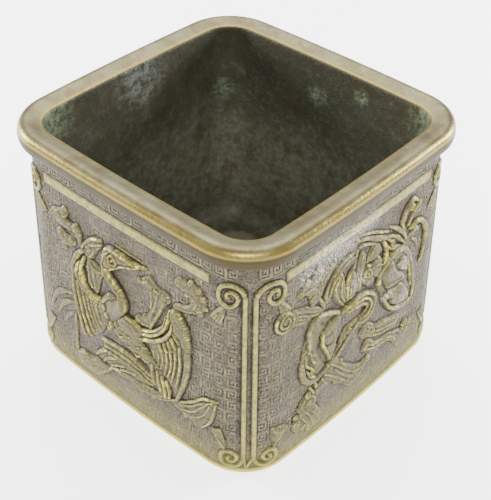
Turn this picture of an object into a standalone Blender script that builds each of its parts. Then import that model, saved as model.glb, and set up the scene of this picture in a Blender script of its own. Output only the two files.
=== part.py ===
"""Cast bronze censer: an open square vessel with rounded corners and a proud rim.

The vessel is one casting. Its four walls carry relief: a spread-winged phoenix on the
front and back, a long-tailed bird on the two sides, a scrolled pair of strips down each
corner, a plain band under the rim and a plain edge along the foot.
Units are metres, +Z is up, and the origin is at the middle of the underside.
"""
import math

import bmesh
import bpy
import numpy as np
from mathutils.geometry import delaunay_2d_cdt

MM = 0.001

# Driving sizes of the vessel
RIM_WIDTH = 110.0 * MM
RIM_DEPTH = 108.0 * MM
TOTAL_HEIGHT = 90.0 * MM
RIM_CORNER = 19.3 * MM
RIM_HEIGHT = 6.4 * MM
RIM_OVERHANG = 4.1 * MM
RIM_NECK = 1.3 * MM
RIM_DISH = 1.0 * MM
LIP_ROUND = 1.1 * MM
FOOT_SPREAD = 2.4 * MM
WALL_CORNER_TOP = 14.5 * MM
WALL_CORNER_FOOT = 16.8 * MM
SIDE_BOW_TOP = 0.6 * MM
SIDE_BOW_FOOT = 1.0 * MM
WALL_THICKNESS = 4.5 * MM
FLOOR_THICKNESS = 6.0 * MM
FLOOR_FILLET = 7.0 * MM
FOOT_CHAMFER = 0.8 * MM

# Relief depths
STRIP_HEIGHT = 0.8 * MM
BAND_HEIGHT = 0.45 * MM
FOOT_EDGE_HEIGHT = 0.45 * MM
BIRD_HEIGHT = 2.2 * MM
FEATHER_HEIGHT = 1.3 * MM
CLOUD_HEIGHT = 1.1 * MM

# The relief is drawn on a sheet that wraps each wall from corner to corner.
# The sheet is stretched to the wall, so the carving keeps its place on a changed size.
SHEET_HALF = 49.0
SHEET_FLAT = 36.5
SHEET_TOP = 82.3
STRIP_INSET = 1.6
STRIP_WIDTH = 2.2
SCROLL_RADIUS = 4.6
FOOT_SCROLL_RADIUS = 3.5
SCROLL_DROP = 11.1
FOOT_SCROLL_LEVEL = 6.6
BAND_DROP = 5.3
BAND_WIDTH = 3.6
BAND_HALF = SHEET_FLAT - 0.9
FOOT_LEVELS = (0.0, 0.9, 2.1, 2.6)
SEAM_LEVELS = FOOT_LEVELS + tuple(SHEET_TOP * share for share in (0.17, 0.36, 0.56, 0.75, 0.92, 1.0))
FLAT_COLUMNS = 4
CORNER_COLUMNS = 4
GRID_STEP = 9.0
GRID_CLEARANCE = 0.4 * GRID_STEP
CDT_NEARNESS = 0.03
SEAM_MERGE = 0.002 * MM

# The walls that carry clouds and leaves round their animals
RICH_WALLS = (0, 1)

WALL_TOP = TOTAL_HEIGHT - RIM_HEIGHT - RIM_NECK
OUTWARD = ((0, -1), (1, 0), (0, 1), (-1, 0))
RIGHTWARD = ((1, 0), (0, 1), (-1, 0), (0, -1))


def section(wall, along, inset, corner, bow, out=0.0):
    """Point of the rim's rounded oblong set in all round, seen from outside one wall.

    along runs from -SHEET_HALF to SHEET_HALF, from one corner's middle to the next one's.
    The point is then pushed out along its normal.
    """
    width = RIM_WIDTH / 2 - inset
    depth = RIM_DEPTH / 2 - inset
    ahead, beside = (depth, width) if wall % 2 == 0 else (width, depth)
    turn = math.atan2(2 * bow, beside - bow - corner)
    next_turn = math.atan2(2 * bow, ahead - bow - corner)
    centre_ahead = ahead - bow - corner * math.cos(turn)
    centre_beside = beside - bow - corner * math.cos(next_turn)
    flat_half = centre_beside + corner * math.sin(turn)
    side = 1.0 if along >= 0 else -1.0
    if abs(along) <= SHEET_FLAT:
        share = along / SHEET_FLAT
        forward = ahead - bow * share * share
        right = share * flat_half
        angle = math.atan(2 * bow * share / flat_half)
    else:
        share = (abs(along) - SHEET_FLAT) / (SHEET_HALF - SHEET_FLAT)
        angle = turn + (math.pi / 4 - turn) * share
        forward = centre_ahead + corner * math.cos(angle)
        right = side * (centre_beside + corner * math.sin(angle))
        angle = side * angle
    forward += out * math.cos(angle)
    right += out * math.sin(angle)
    x = forward * OUTWARD[wall][0] + right * RIGHTWARD[wall][0]
    y = forward * OUTWARD[wall][1] + right * RIGHTWARD[wall][1]
    return x, y


def wall_point(wall, along, up, out=0.0, inset=0.0):
    """Point of the wall: up is in sheet units, out and inset are real lengths."""
    rise = up / SHEET_TOP
    under_rim = RIM_OVERHANG - FOOT_SPREAD * (1 - rise) + inset
    corner = WALL_CORNER_FOOT + (WALL_CORNER_TOP - WALL_CORNER_FOOT) * rise - inset
    bow = SIDE_BOW_FOOT + (SIDE_BOW_TOP - SIDE_BOW_FOOT) * rise
    x, y = section(wall, along, under_rim, corner, bow, out)
    return x, y, rise * WALL_TOP


def spline(points, count):
    """count + 1 points of a smooth curve through a few points."""
    anchors = np.array([points[0]] + list(points) + [points[-1]], float)
    spans = len(points) - 1
    result = []
    for step in range(count + 1):
        place = min(step * spans / count, spans - 1e-9)
        first = int(place)
        t = place - first
        a, b, c, d = anchors[first:first + 4]
        bend = 2 * b + (c - a) * t + (2 * a - 5 * b + 4 * c - d) * t * t
        result.append((bend + (3 * b - a - 3 * c + d) * t ** 3) / 2)
    return np.array(result)


class Ridge:
    """A raised line that tapers, with sloping sides."""

    def __init__(self, points, widths, height, count=5):
        self.path = spline(points, count)
        place = np.linspace(0, 1, count + 1)
        self.half = np.interp(place, np.linspace(0, 1, len(widths)), widths) / 2
        self.height = height

    def normals(self):
        along = np.gradient(self.path, axis=0)
        along /= np.linalg.norm(along, axis=1)[:, None]
        return np.stack([-along[:, 1], along[:, 0]], 1)

    def lines(self):
        side = self.normals() * self.half[:, None]
        left = self.path + side
        right = self.path - side
        outline = np.vstack([left, right[::-1], left[:1]])
        return [outline, self.path]

    def heights(self, spots):
        best = np.zeros(len(spots))
        for index in range(len(self.path) - 1):
            start = self.path[index]
            run = self.path[index + 1] - start
            t = np.clip(((spots - start) @ run) / (run @ run), 0, 1)
            gap = np.linalg.norm(spots - start - t[:, None] * run, axis=1)
            half = self.half[index] + (self.half[index + 1] - self.half[index]) * t
            best = np.maximum(best, 1 - gap / half)
        return best * self.height


class Mound:
    """A raised oval with a rounded back."""

    def __init__(self, centre, size, height, turn=0.0, sides=8, shoulder=0.6):
        self.centre = np.array(centre, float)
        self.size = np.array(size, float)
        self.height = height
        self.turn = math.radians(turn)
        self.sides = sides
        self.shoulder = shoulder

    def ring(self, share):
        angle = np.arange(self.sides + 1) * 2 * math.pi / self.sides
        local = np.stack([np.cos(angle), np.sin(angle)], 1) * self.size * share
        cos, sin = math.cos(self.turn), math.sin(self.turn)
        return self.centre + local @ np.array([[cos, sin], [-sin, cos]])

    def lines(self):
        return [self.ring(1.0), self.ring(self.shoulder), self.centre[None]]

    def heights(self, spots):
        cos, sin = math.cos(self.turn), math.sin(self.turn)
        local = (spots - self.centre) @ np.array([[cos, -sin], [sin, cos]]) / self.size
        return self.height * np.sqrt(np.clip(1 - (local ** 2).sum(1), 0, 1))


class Plate:
    """A raised oblong with a flat face and a narrow slope round it."""

    SLOPE = 0.35

    def __init__(self, low, high, height):
        self.low = np.array(low, float)
        self.high = np.array(high, float)
        self.height = height

    def corners(self, inset):
        (left, bottom), (right, top) = self.low + inset, self.high - inset
        return np.array([(left, bottom), (right, bottom), (right, top), (left, top), (left, bottom)])

    def lines(self):
        return [self.corners(0.0), self.corners(self.SLOPE)]

    def heights(self, spots):
        inside = np.minimum(spots - self.low, self.high - spots).min(1)
        return np.clip(inside / self.SLOPE, 0, 1) * self.height


def spiral(centre, radius, start, turns, count, inner=0.25):
    """Points that wind in towards a centre, from the angle start in degrees."""
    points = []
    for step in range(count + 1):
        share = step / count
        angle = math.radians(start + 360 * turns * share)
        reach = radius * (1 - (1 - inner) * share)
        points.append((centre[0] + reach * math.cos(angle), centre[1] + reach * math.sin(angle)))
    return points


def corner_strip(side):
    """One strip beside a corner, curled on to the wall at its top and foot, with its fans."""
    column = SHEET_HALF - STRIP_INSET
    top = SHEET_TOP - SCROLL_DROP
    forms = []
    for middle, foot_side, radius in ((top, 1, SCROLL_RADIUS), (FOOT_SCROLL_LEVEL, -1, FOOT_SCROLL_RADIUS)):
        hub = ((column - radius) * side, middle)
        start = 0 if side > 0 else 180
        curl = spiral(hub, radius, start, 1.25 * side * foot_side, 13, 0.24)
        forms.append(Ridge(curl, (STRIP_WIDTH, 0.8 * STRIP_WIDTH, 0.6 * STRIP_WIDTH), STRIP_HEIGHT, 13))
        for rib in (-1, 0, 1):
            root = (hub[0] - 2.6 * side, middle - foot_side * radius * 0.85)
            tip = (root[0] - (3.2 - 1.1 * rib) * side, root[1] - foot_side * (4.8 + rib))
            forms.append(Ridge([root, tip], (0.9, 1.7), STRIP_HEIGHT * 0.6, 1))
    ends = [(column * side, FOOT_SCROLL_LEVEL), (column * side, top)]
    forms.append(Ridge(ends, (STRIP_WIDTH, STRIP_WIDTH), STRIP_HEIGHT, 3))
    return forms


def fan(roots, tips, bulge, widths, height, count, first=0.0):
    """Feathers from a curve of roots to a curve of tips, each bowed to one side."""
    root_line = spline(roots, 40)
    tip_line = spline(tips, 40)
    forms = []
    for index in range(count):
        share = first + (1 - first) * index / (count - 1)
        root = root_line[round(share * 40)]
        tip = tip_line[round(share * 40)]
        run = tip - root
        side = np.array([-run[1], run[0]]) * bulge * (1 - 0.6 * share)
        forms.append(Ridge([root, root + 0.4 * run + side, tip], widths, height, 4))
    return forms


def cloud(centre, size, facing, tail=None):
    """A ruyi cloud: three lobes round a small curl, with an optional tail."""
    forms = []
    for degrees in (20, 90, 160):
        angle = math.radians(degrees)
        lobe = (centre[0] + facing * size * 0.62 * math.cos(angle),
                centre[1] + size * 0.55 * math.sin(angle))
        forms.append(Mound(lobe, (size * 0.48, size * 0.44), CLOUD_HEIGHT, sides=7))
    if tail:
        forms.append(Ridge([centre] + list(tail), (size * 0.55, size * 0.4, 0.6), CLOUD_HEIGHT, 4))
    return forms


def frame_forms():
    """What every wall has: the strips and scrolls, the band under the rim, the foot edge."""
    forms = []
    for side in (-1, 1):
        forms += corner_strip(side)
    top = SHEET_TOP - BAND_DROP
    forms.append(Plate((-BAND_HALF, top - BAND_WIDTH), (BAND_HALF, top), BAND_HEIGHT))
    return forms


def phoenix_forms():
    """A phoenix that faces right, with its wings spread to both sides."""
    feather = (2.0, 2.2, 0.8)
    forms = []
    forms += fan([(-23.5, 49), (-19.5, 42), (-9, 38)], [(-20.5, 19.5), (-13, 20.5), (-5.5, 26)],
                 -0.10, feather, FEATHER_HEIGHT, 6)
    forms += fan([(25, 53), (23, 46), (12.5, 38)], [(23.5, 19.5), (20, 22.5), (12.5, 27)],
                 0.17, feather, FEATHER_HEIGHT, 6)
    forms.append(Ridge([(-17.5, 57.5), (-22, 49.5), (-18.5, 42), (-7, 37.5)], (1.6, 3.0, 3.4),
                       FEATHER_HEIGHT * 1.3))
    forms.append(Ridge([(22.5, 56), (19.5, 47.5), (13.5, 40.5), (3, 36)], (1.6, 3.0, 3.4),
                       FEATHER_HEIGHT * 1.3))
    forms.append(Mound((24.6, 51.3), (3.1, 5.6), FEATHER_HEIGHT, turn=22))
    forms.append(Mound((-5.3, 36.5), (4.6, 6.0), BIRD_HEIGHT * 0.85, turn=20))
    forms.append(Mound((4.0, 31.5), (8.5, 4.6), BIRD_HEIGHT * 0.75, turn=-25))
    forms.append(Mound((15.8, 23.6), (4.2, 6.2), BIRD_HEIGHT * 0.6, turn=28))
    forms.append(Ridge([(-6.3, 59), (-4.8, 54.5), (0.8, 49.5), (0.6, 44.5), (-5, 39.5)],
                       (3.6, 3.2, 4.6), BIRD_HEIGHT, 7))
    forms.append(Mound((-3.0, 61.3), (4.4, 3.9), BIRD_HEIGHT, turn=10))
    forms.append(Ridge([(-0.5, 62.3), (6, 63.0), (12, 65.2)], (3.0, 1.6, 0.5), BIRD_HEIGHT * 0.8, 3))
    forms.append(Ridge([(0, 59.8), (5.5, 61.4)], (1.6, 0.6), BIRD_HEIGHT * 0.5, 2))
    forms.append(Ridge([(-6.5, 63.5), (-0.5, 66.6), (9.5, 66.0)], (1.2, 1.2, 0.4), BIRD_HEIGHT * 0.4, 3))
    for row in range(2):
        level = 25.4 - 3.1 * row
        forms.append(Ridge([(12.5, level - 2), (3, level + 0.6), (-10, level - 0.8)], (2.2, 2.2, 0.9),
                           FEATHER_HEIGHT, 4))
    forms.append(Ridge([(19.5, 18.3), (9, 15.4), (-3, 14.6), (-9, 12.2), (-22, 12.4)], (2.6, 2.2, 1.2),
                       CLOUD_HEIGHT, 6))
    forms.append(Ridge([(12, 62.6), (18.8, 59.2), (16, 53), (13, 47.2), (6.4, 42.8)], (2.2, 3.0, 1.6),
                       CLOUD_HEIGHT, 6))
    forms.append(Ridge([(-17, 56.5), (-14, 60), (-9.5, 62.6)], (2.4, 1.4), CLOUD_HEIGHT, 3))
    forms.append(Mound((-13.2, 47.2), (3.2, 3.6), CLOUD_HEIGHT, sides=7))
    return forms


def phoenix_surroundings():
    """Clouds, a leaf and trailing plumes round the phoenix."""
    forms = []
    forms += cloud((29.5, 64.2), 7.4, 1, [(31, 60), (22.5, 57.5)])
    forms += cloud((-28, 63.6), 7.0, -1, [(-30.5, 59), (-24.5, 54.5)])
    forms += cloud((-17.5, 6.8), 7.6, 1)
    for bend in ((30, 20.6), (34.5, 15.2)):
        forms.append(Ridge([(20.5, 18.2), bend, (39.2, 29.8)], (1.4, 2.8, 0.8), CLOUD_HEIGHT, 4))
    for row in range(2):
        start = (-38 + 4.2 * row, 23 - 1.6 * row)
        forms.append(Ridge([start, (-33 + 3.4 * row, 29.6 - 1.6 * row), (-25.4, 34.6 - 2.4 * row)],
                           (0.8, 2.0, 1.4), FEATHER_HEIGHT * 0.7, 3))
    return forms


def tail_bird_forms():
    """A bird seen from behind, its tail spread in two curled, heart-shaped plumes."""
    forms = []
    left_plume = [(-12.5, 49.6), (-22.5, 52.2), (-28.6, 42), (-27, 29.5), (-18, 27), (-8.5, 37), (0.5, 38.6)]
    right_plume = [(10.5, 50), (18, 55.4), (27, 51), (30.6, 39), (28.5, 29), (17, 31.5), (11.6, 40)]
    for plume in (left_plume, right_plume):
        forms.append(Ridge(plume, (2.2, 3.2, 3.4, 2.4), FEATHER_HEIGHT * 1.2, 11))
    forms.append(Mound((-15.6, 40.6), (4.2, 8.2), BIRD_HEIGHT * 0.7, turn=-12))
    forms.append(Mound((16.6, 46.6), (5.6, 4.4), BIRD_HEIGHT * 0.7, turn=-14))
    forms.append(Mound((18.8, 37.2), (6.0, 4.4), BIRD_HEIGHT * 0.7, turn=-32))
    forms.append(Ridge([(-12, 47.5), (-1, 46.8), (6.2, 42.4), (1, 37.6)], (3.0, 4.4, 2.2), BIRD_HEIGHT, 5))
    forms += fan([(-9.6, 51), (2.4, 50.6)], [(-14.5, 61), (10, 61.5)], 0.12, (1.6, 3.4, 1.2),
                 FEATHER_HEIGHT, 4)
    forms.append(Ridge([(-20, 59.6), (-12, 66.6), (-3, 66.8)], (1.2, 2.6, 1.0), FEATHER_HEIGHT, 4))
    forms.append(Ridge([(-5, 70.4), (6, 68), (16, 60), (26, 53.6)], (1.0, 2.8, 2.0), FEATHER_HEIGHT, 6))
    forms.append(Ridge([(25.5, 59.6), (32, 59.5), (34, 52), (31, 42)], (1.4, 3.2, 1.2),
                       BIRD_HEIGHT * 0.8, 6))
    forms.append(Ridge([(20, 62), (22.6, 68), (28, 69)], (1.4, 3.2, 0.8), BIRD_HEIGHT * 0.7, 3))
    return forms


def tail_bird_surroundings():
    """Clouds, stems and a ragged plume round the long-tailed bird."""
    forms = []
    forms.append(Ridge([(-31, 62.4), (-26, 66.6), (-14, 69)], (1.4, 4.0, 1.0), FEATHER_HEIGHT * 0.8, 4))
    forms.append(Ridge(spiral((-34.6, 59), 3.6, 180, -1.0, 7, 0.3), (1.6, 1.2), CLOUD_HEIGHT, 7))
    for drop in (0.0, 3.0):
        forms.append(Ridge([(-32, 60.6 - drop), (-26, 59 - drop), (-18, 56.4 - drop)], (1.6, 1.8, 0.8),
                           CLOUD_HEIGHT, 3))
    forms.append(Ridge([(-19, 25.4), (-9, 18.6), (-1.5, 12.6), (7, 17)], (2.6, 2.4, 1.0), CLOUD_HEIGHT, 5))
    forms.append(Ridge([(1.4, 31), (4.4, 33.2), (9, 30), (22, 26.6)], (1.4, 3.0, 1.0), FEATHER_HEIGHT, 5))
    forms.append(Ridge([(3.4, 24.6), (6.6, 26.2), (11, 21.5), (23.5, 15), (25.4, 8.8)], (1.4, 2.8, 1.0),
                       CLOUD_HEIGHT, 6))
    forms += cloud((-26, 18.4), 7.8, -1, [(-22.5, 12.5), (-20.5, 8)])
    forms += cloud((-31.6, 11), 5.0, 1)
    forms += cloud((29.6, 15.6), 6.2, 1)
    return forms


def sheet_mesh(forms):
    """Triangulates one wall's sheet along the edges and crests of its forms."""
    columns = sheet_columns()
    spots = []
    edges = []

    def add_line(line):
        start = len(spots)
        spots.extend(tuple(map(float, spot)) for spot in line)
        edges.extend((start + index, start + index + 1) for index in range(len(line) - 1))

    for form in forms:
        for line in form.lines():
            add_line(line)
    for level in FOOT_LEVELS:
        add_line([(column, level) for column in columns])
    add_line([(column, SHEET_TOP) for column in columns])
    for column in (-SHEET_HALF, SHEET_HALF):
        add_line([(column, level) for level in SEAM_LEVELS])
    taken = np.array(spots)
    for level in np.arange(FOOT_LEVELS[-1], SHEET_TOP, GRID_STEP):
        for column in np.arange(-SHEET_HALF + GRID_STEP / 2, SHEET_HALF, GRID_STEP):
            spot = np.array((column, level))
            if np.linalg.norm(taken - spot, axis=1).min() > GRID_CLEARANCE:
                spots.append((float(column), float(level)))
    flat, _, faces, _, _, _ = delaunay_2d_cdt(spots, edges, [], 0, CDT_NEARNESS)
    flat = np.array([tuple(spot) for spot in flat])
    raised = np.zeros(len(flat))
    for form in forms:
        raised = np.maximum(raised, form.heights(flat))
    foot = np.interp(flat[:, 1], FOOT_LEVELS, (0.0, FOOT_EDGE_HEIGHT, FOOT_EDGE_HEIGHT, 0.0))
    raised = np.maximum(raised, foot)
    return flat, raised, faces


def sheet_columns():
    """Places along a wall where every ring of the vessel has a point."""
    flat = np.linspace(-SHEET_FLAT, SHEET_FLAT, FLAT_COLUMNS + 1)
    corner = np.linspace(SHEET_FLAT, SHEET_HALF, CORNER_COLUMNS + 1)[1:]
    return list(-corner[::-1]) + list(flat) + list(corner)


def rim_ring(inset, corner, level):
    """A ring set in from the rim's outer edge."""
    points = []
    for wall in range(4):
        for column in sheet_columns()[:-1]:
            x, y = section(wall, column, inset, corner, SIDE_BOW_TOP)
            points.append((x, y, level))
    return points


def wall_ring(up, inset=0.0, out=0.0):
    """A ring that keeps to the wall, set in by a thickness or moved along its normals."""
    points = []
    for wall in range(4):
        for column in sheet_columns()[:-1]:
            points.append(wall_point(wall, column, up, out, inset))
    return points


def vessel_rings():
    """Rings from the top of the outer wall, over the rim, down inside and across the floor."""
    inner = RIM_OVERHANG + WALL_THICKNESS
    inner_corner = WALL_CORNER_TOP - WALL_THICKNESS
    mouth = TOTAL_HEIGHT - RIM_DISH
    roll = (
        (0.34 * RIM_OVERHANG, 1.00 * RIM_HEIGHT),
        (0.06 * RIM_OVERHANG, 0.82 * RIM_HEIGHT),
        (0.0, 0.52 * RIM_HEIGHT),
        (0.05 * RIM_OVERHANG, 0.30 * RIM_HEIGHT),
        (0.27 * RIM_OVERHANG, 0.10 * RIM_HEIGHT),
        (0.70 * RIM_OVERHANG, 0.0),
    )
    rings = [wall_ring(SHEET_TOP)]
    for inset, drop in roll:
        rings.append(rim_ring(inset, RIM_CORNER - inset, TOTAL_HEIGHT - drop))
    for degrees in (90, 45, 0):
        angle = math.radians(degrees)
        back = LIP_ROUND * (1 - math.cos(angle))
        level = mouth - LIP_ROUND * (1 - math.sin(angle))
        rings.append(rim_ring(inner - back, inner_corner + back, level))
    floor_up = FLOOR_THICKNESS / WALL_TOP * SHEET_TOP
    fillet_up = FLOOR_FILLET / WALL_TOP * SHEET_TOP
    rings.append(wall_ring(SHEET_TOP, WALL_THICKNESS))
    rings.append(wall_ring(0.5 * (floor_up + SHEET_TOP), WALL_THICKNESS))
    for degrees in (0, 30, 60, 90):
        angle = math.radians(degrees)
        level = floor_up + fillet_up * (1 - math.sin(angle))
        rings.append(wall_ring(level, WALL_THICKNESS + FLOOR_FILLET * (1 - math.cos(angle))))
    return rings


def build_censer():
    positions = []
    faces = []

    def add_rings(rings):
        count = len(rings[0])
        start = len(positions)
        for ring in rings:
            positions.extend(ring)
        for row in range(len(rings) - 1):
            for index in range(count):
                after = (index + 1) % count
                low = start + row * count
                high = low + count
                faces.append((low + index, low + after, high + after, high + index))
        return start, count

    for wall in range(4):
        forms = frame_forms() + (phoenix_forms() if wall % 2 == 0 else tail_bird_forms())
        if wall in RICH_WALLS:
            forms += phoenix_surroundings() if wall % 2 == 0 else tail_bird_surroundings()
        flat, raised, triangles = sheet_mesh(forms)
        start = len(positions)
        for (along, up), out in zip(flat, raised):
            inset = FOOT_CHAMFER * max(0.0, 1 - up / FOOT_LEVELS[1])
            positions.append(wall_point(wall, along, up, out - inset))
        faces.extend(tuple(start + index for index in triangle) for triangle in triangles)

    rings = vessel_rings()
    start, count = add_rings(rings)
    floor_start = start + (len(rings) - 1) * count
    centre = len(positions)
    positions.append((0.0, 0.0, FLOOR_THICKNESS))
    for index in range(count):
        faces.append((floor_start + index, floor_start + (index + 1) % count, centre))

    foot = len(positions)
    positions.extend(wall_ring(0.0, out=-FOOT_CHAMFER))
    under = len(positions)
    positions.append((0.0, 0.0, 0.0))
    for index in range(count):
        faces.append((foot + (index + 1) % count, foot + index, under))

    mesh = bpy.data.meshes.new("censer")
    mesh.from_pydata(positions, [], faces)
    shell = bmesh.new()
    shell.from_mesh(mesh)
    bmesh.ops.remove_doubles(shell, verts=shell.verts, dist=SEAM_MERGE)
    bmesh.ops.triangulate(shell, faces=shell.faces)
    bmesh.ops.recalc_face_normals(shell, faces=shell.faces)
    shell.to_mesh(mesh)
    shell.free()
    return mesh


def bronze():
    """Worn bronze: warm grey-brown ground with the gold of the metal behind it."""
    material = bpy.data.materials.new("worn_bronze")
    material.use_nodes = True
    shader = material.node_tree.nodes["Principled BSDF"]
    shader.inputs["Base Color"].default_value = (0.34, 0.30, 0.22, 1.0)
    shader.inputs["Metallic"].default_value = 0.9
    shader.inputs["Roughness"].default_value = 0.45
    return material


def main():
    for item in list(bpy.data.objects):
        bpy.data.objects.remove(item, do_unlink=True)
    censer = bpy.data.objects.new("censer", build_censer())
    censer.data.materials.append(bronze())
    censer.data.set_sharp_from_angle(angle=math.radians(30))
    bpy.context.scene.collection.objects.link(censer)


main()
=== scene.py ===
import math

import bpy
import numpy as np
from mathutils import Matrix, Vector


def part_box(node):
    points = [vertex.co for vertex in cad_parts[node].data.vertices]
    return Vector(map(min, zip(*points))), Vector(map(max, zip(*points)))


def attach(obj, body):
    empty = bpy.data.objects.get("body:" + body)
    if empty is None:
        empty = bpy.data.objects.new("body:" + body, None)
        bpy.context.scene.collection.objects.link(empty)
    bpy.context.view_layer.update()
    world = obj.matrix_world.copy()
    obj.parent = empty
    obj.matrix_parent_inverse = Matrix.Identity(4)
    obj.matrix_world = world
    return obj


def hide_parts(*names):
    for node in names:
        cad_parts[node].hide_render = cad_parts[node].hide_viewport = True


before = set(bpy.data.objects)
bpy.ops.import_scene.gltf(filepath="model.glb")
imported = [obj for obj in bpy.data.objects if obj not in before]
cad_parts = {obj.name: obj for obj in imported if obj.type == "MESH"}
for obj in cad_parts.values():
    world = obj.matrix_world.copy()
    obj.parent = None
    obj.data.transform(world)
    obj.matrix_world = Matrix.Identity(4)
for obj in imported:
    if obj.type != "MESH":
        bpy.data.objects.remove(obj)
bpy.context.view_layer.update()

# Sizes are in millimetres and turn to metres where a mesh is written. The finishes' heights over the
# ground and the studio's sizes are in metres.
MM = 0.001
HIGH = Vector(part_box("censer")[1]) / MM

# The vessel, as in the frame
TOTAL_HEIGHT = HIGH.z
RIM_HEIGHT = 6.4
RIM_OVERHANG = 4.1
FOOT_SPREAD = 2.4
CORNER_TOP = 14.5
CORNER_FOOT = 16.8
BOW_TOP = 0.6
BOW_FOOT = 1.0
WALL = 4.5
FLOOR = 6.0
FILLET = 7.0
FOOT_CHAMFER = 0.8

# The sheet that wraps a wall, from one corner's middle to the next one's
SHEET_HALF = 49.0
SHEET_FLAT = 36.5
SHEET_TOP = TOTAL_HEIGHT - RIM_HEIGHT - 1.3
# The foot: its top, where its bright metal ends, and the low bead up it
FOOT_TOP = 2.6
FOOT_BRIGHT = 2.3
FOOT_BEAD_LEVELS = (0.0, 0.5, 1.9, 2.5)
FOOT_BEAD_HEIGHTS = (0.0, 0.45, 0.45, 0.0)

# The key pattern: its line's pitch, the sheet's cell, one unit of it, how many units there are on either
# side of the middle, and its height below the band and above it
PITCH = 1.16
CELL = PITCH / 4
FRET = 4 * PITCH
FRET_UNITS = 9.75
FRET_DEPTH, TOP_FRET_DEPTH = 0.19, 0.22

# The plain raised band along each wall's top
BAND_LOW, BAND_HIGH, BAND_HALF = 73.4, 77.0, 35.6
BAND_BEVEL, BAND_HEIGHT = 0.35, 0.42

# The walls' directions, and their names in the same order
OUTWARD = np.array(((0, -1), (1, 0), (0, 1), (-1, 0)))
RIGHTWARD = np.array(((1, 0), (0, 1), (-1, 0), (0, -1)))
WALL_NAMES = ("wall_front", "wall_right", "wall_back", "wall_left")


def mix(low, high, share):
    return low + (high - low) * share


def section(wall, along, inset, corner, bow, out=0.0):
    """Points of the rim's rounded oblong set in all round, seen from outside one wall, and pushed out."""
    along, inset, corner, bow = np.broadcast_arrays(along, inset, corner, bow)
    width, depth = HIGH.x - inset, HIGH.y - inset
    ahead, beside = (depth, width) if wall % 2 == 0 else (width, depth)
    turn = np.arctan2(2 * bow, beside - bow - corner)
    next_turn = np.arctan2(2 * bow, ahead - bow - corner)
    centre_ahead = ahead - bow - corner * np.cos(turn)
    centre_beside = beside - bow - corner * np.cos(next_turn)
    flat_half = centre_beside + corner * np.sin(turn)
    share = np.clip(along / SHEET_FLAT, -1, 1)
    bend = np.clip((np.abs(along) - SHEET_FLAT) / (SHEET_HALF - SHEET_FLAT), 0, 1)
    angle = turn + (math.pi / 4 - turn) * bend
    side = np.where(along < 0, -1.0, 1.0)
    flat = np.abs(along) <= SHEET_FLAT
    forward = np.where(flat, ahead - bow * share ** 2, centre_ahead + corner * np.cos(angle))
    right = np.where(flat, share * flat_half, side * (centre_beside + corner * np.sin(angle)))
    facing = np.where(flat, np.arctan(2 * bow * share / flat_half), side * angle)
    forward = forward + out * np.cos(facing)
    right = right + out * np.sin(facing)
    return forward[..., None] * OUTWARD[wall] + right[..., None] * RIGHTWARD[wall]


def wall_points(wall, along, up, out=0.0, inset=0.0):
    """Points of a wall's sheet at a place along it and a height, pushed out or set in."""
    rise = up / SHEET_TOP
    under_rim = RIM_OVERHANG - FOOT_SPREAD * (1 - rise) + inset
    corner = mix(CORNER_FOOT, CORNER_TOP, rise) - inset
    plan = section(wall, along, under_rim, corner, mix(BOW_FOOT, BOW_TOP, rise), out)
    return np.concatenate([plan, np.broadcast_to(up, plan.shape[:-1])[..., None]], -1)


def spline(points, count):
    """count + 1 points of a smooth curve through a few points."""
    anchors = np.array([points[0]] + list(points) + [points[-1]], float)
    place = np.minimum(np.linspace(0, len(points) - 1, count + 1), len(points) - 1 - 1e-9)
    first = place.astype(int)
    t = (place - first)[:, None]
    a, b, c, d = (anchors[first + step] for step in range(4))
    bend = 2 * b + (c - a) * t + (2 * a - 5 * b + 4 * c - d) * t ** 2 + (3 * b - a - 3 * c + d) * t ** 3
    return bend / 2


def ring_spline(points, per_side):
    """A smooth closed curve through a few points."""
    wrapped = [points[-1]] + list(points) + [points[0], points[1]]
    curve = spline(wrapped, per_side * (len(wrapped) - 1))
    return curve[per_side:-2 * per_side]


def spiral(centre, radius, start, turns, inner, count):
    """Points winding in to inner times the radius; start is in degrees."""
    share = np.linspace(0, 1, count + 1)
    angle = np.radians(start + 360 * turns * share)
    reach = radius * (1 - (1 - inner) * share)
    return np.stack([centre[0] + reach * np.cos(angle), centre[1] + reach * np.sin(angle)], 1)


def wave(value):
    """A smooth ripple from 0 to 1, with its crests at whole numbers."""
    return 0.5 + 0.5 * np.cos(2 * math.pi * value)


def box_blur(field, radius):
    """Each cell's mean over a square that reaches radius cells out."""
    for axis in (0, 1):
        pad = [(0, 0), (0, 0)]
        pad[axis] = (radius + 1, radius)
        total = np.cumsum(np.pad(field, pad, mode="edge"), axis=axis)
        count = field.shape[axis]
        high = np.take(total, np.arange(2 * radius + 1, 2 * radius + 1 + count), axis=axis)
        low = np.take(total, np.arange(count), axis=axis)
        field = (high - low) / (2 * radius + 1)
    return field


def cloudy(shape, radius, seed):
    """Smooth noise round 0, mostly between -1 and 1; radius is its grain in cells."""
    field = np.random.default_rng(seed).normal(size=shape)
    field = box_blur(box_blur(field, radius), radius)
    return field / (2 * field.std())


def segment_gaps(x, y, path):
    """Each segment's distance, share along it and side, for every cell."""
    for index in range(len(path) - 1):
        start = path[index]
        run = path[index + 1] - start
        share = np.clip(((x - start[0]) * run[0] + (y - start[1]) * run[1]) / max(run @ run, 1e-9), 0, 1)
        dx = x - start[0] - share * run[0]
        dy = y - start[1] - share * run[1]
        yield index, share, np.hypot(dx, dy), np.sign(dx * run[1] - dy * run[0])


# How deep the fine lines on a raised line are
LINE_DEPTH = 0.16


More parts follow.
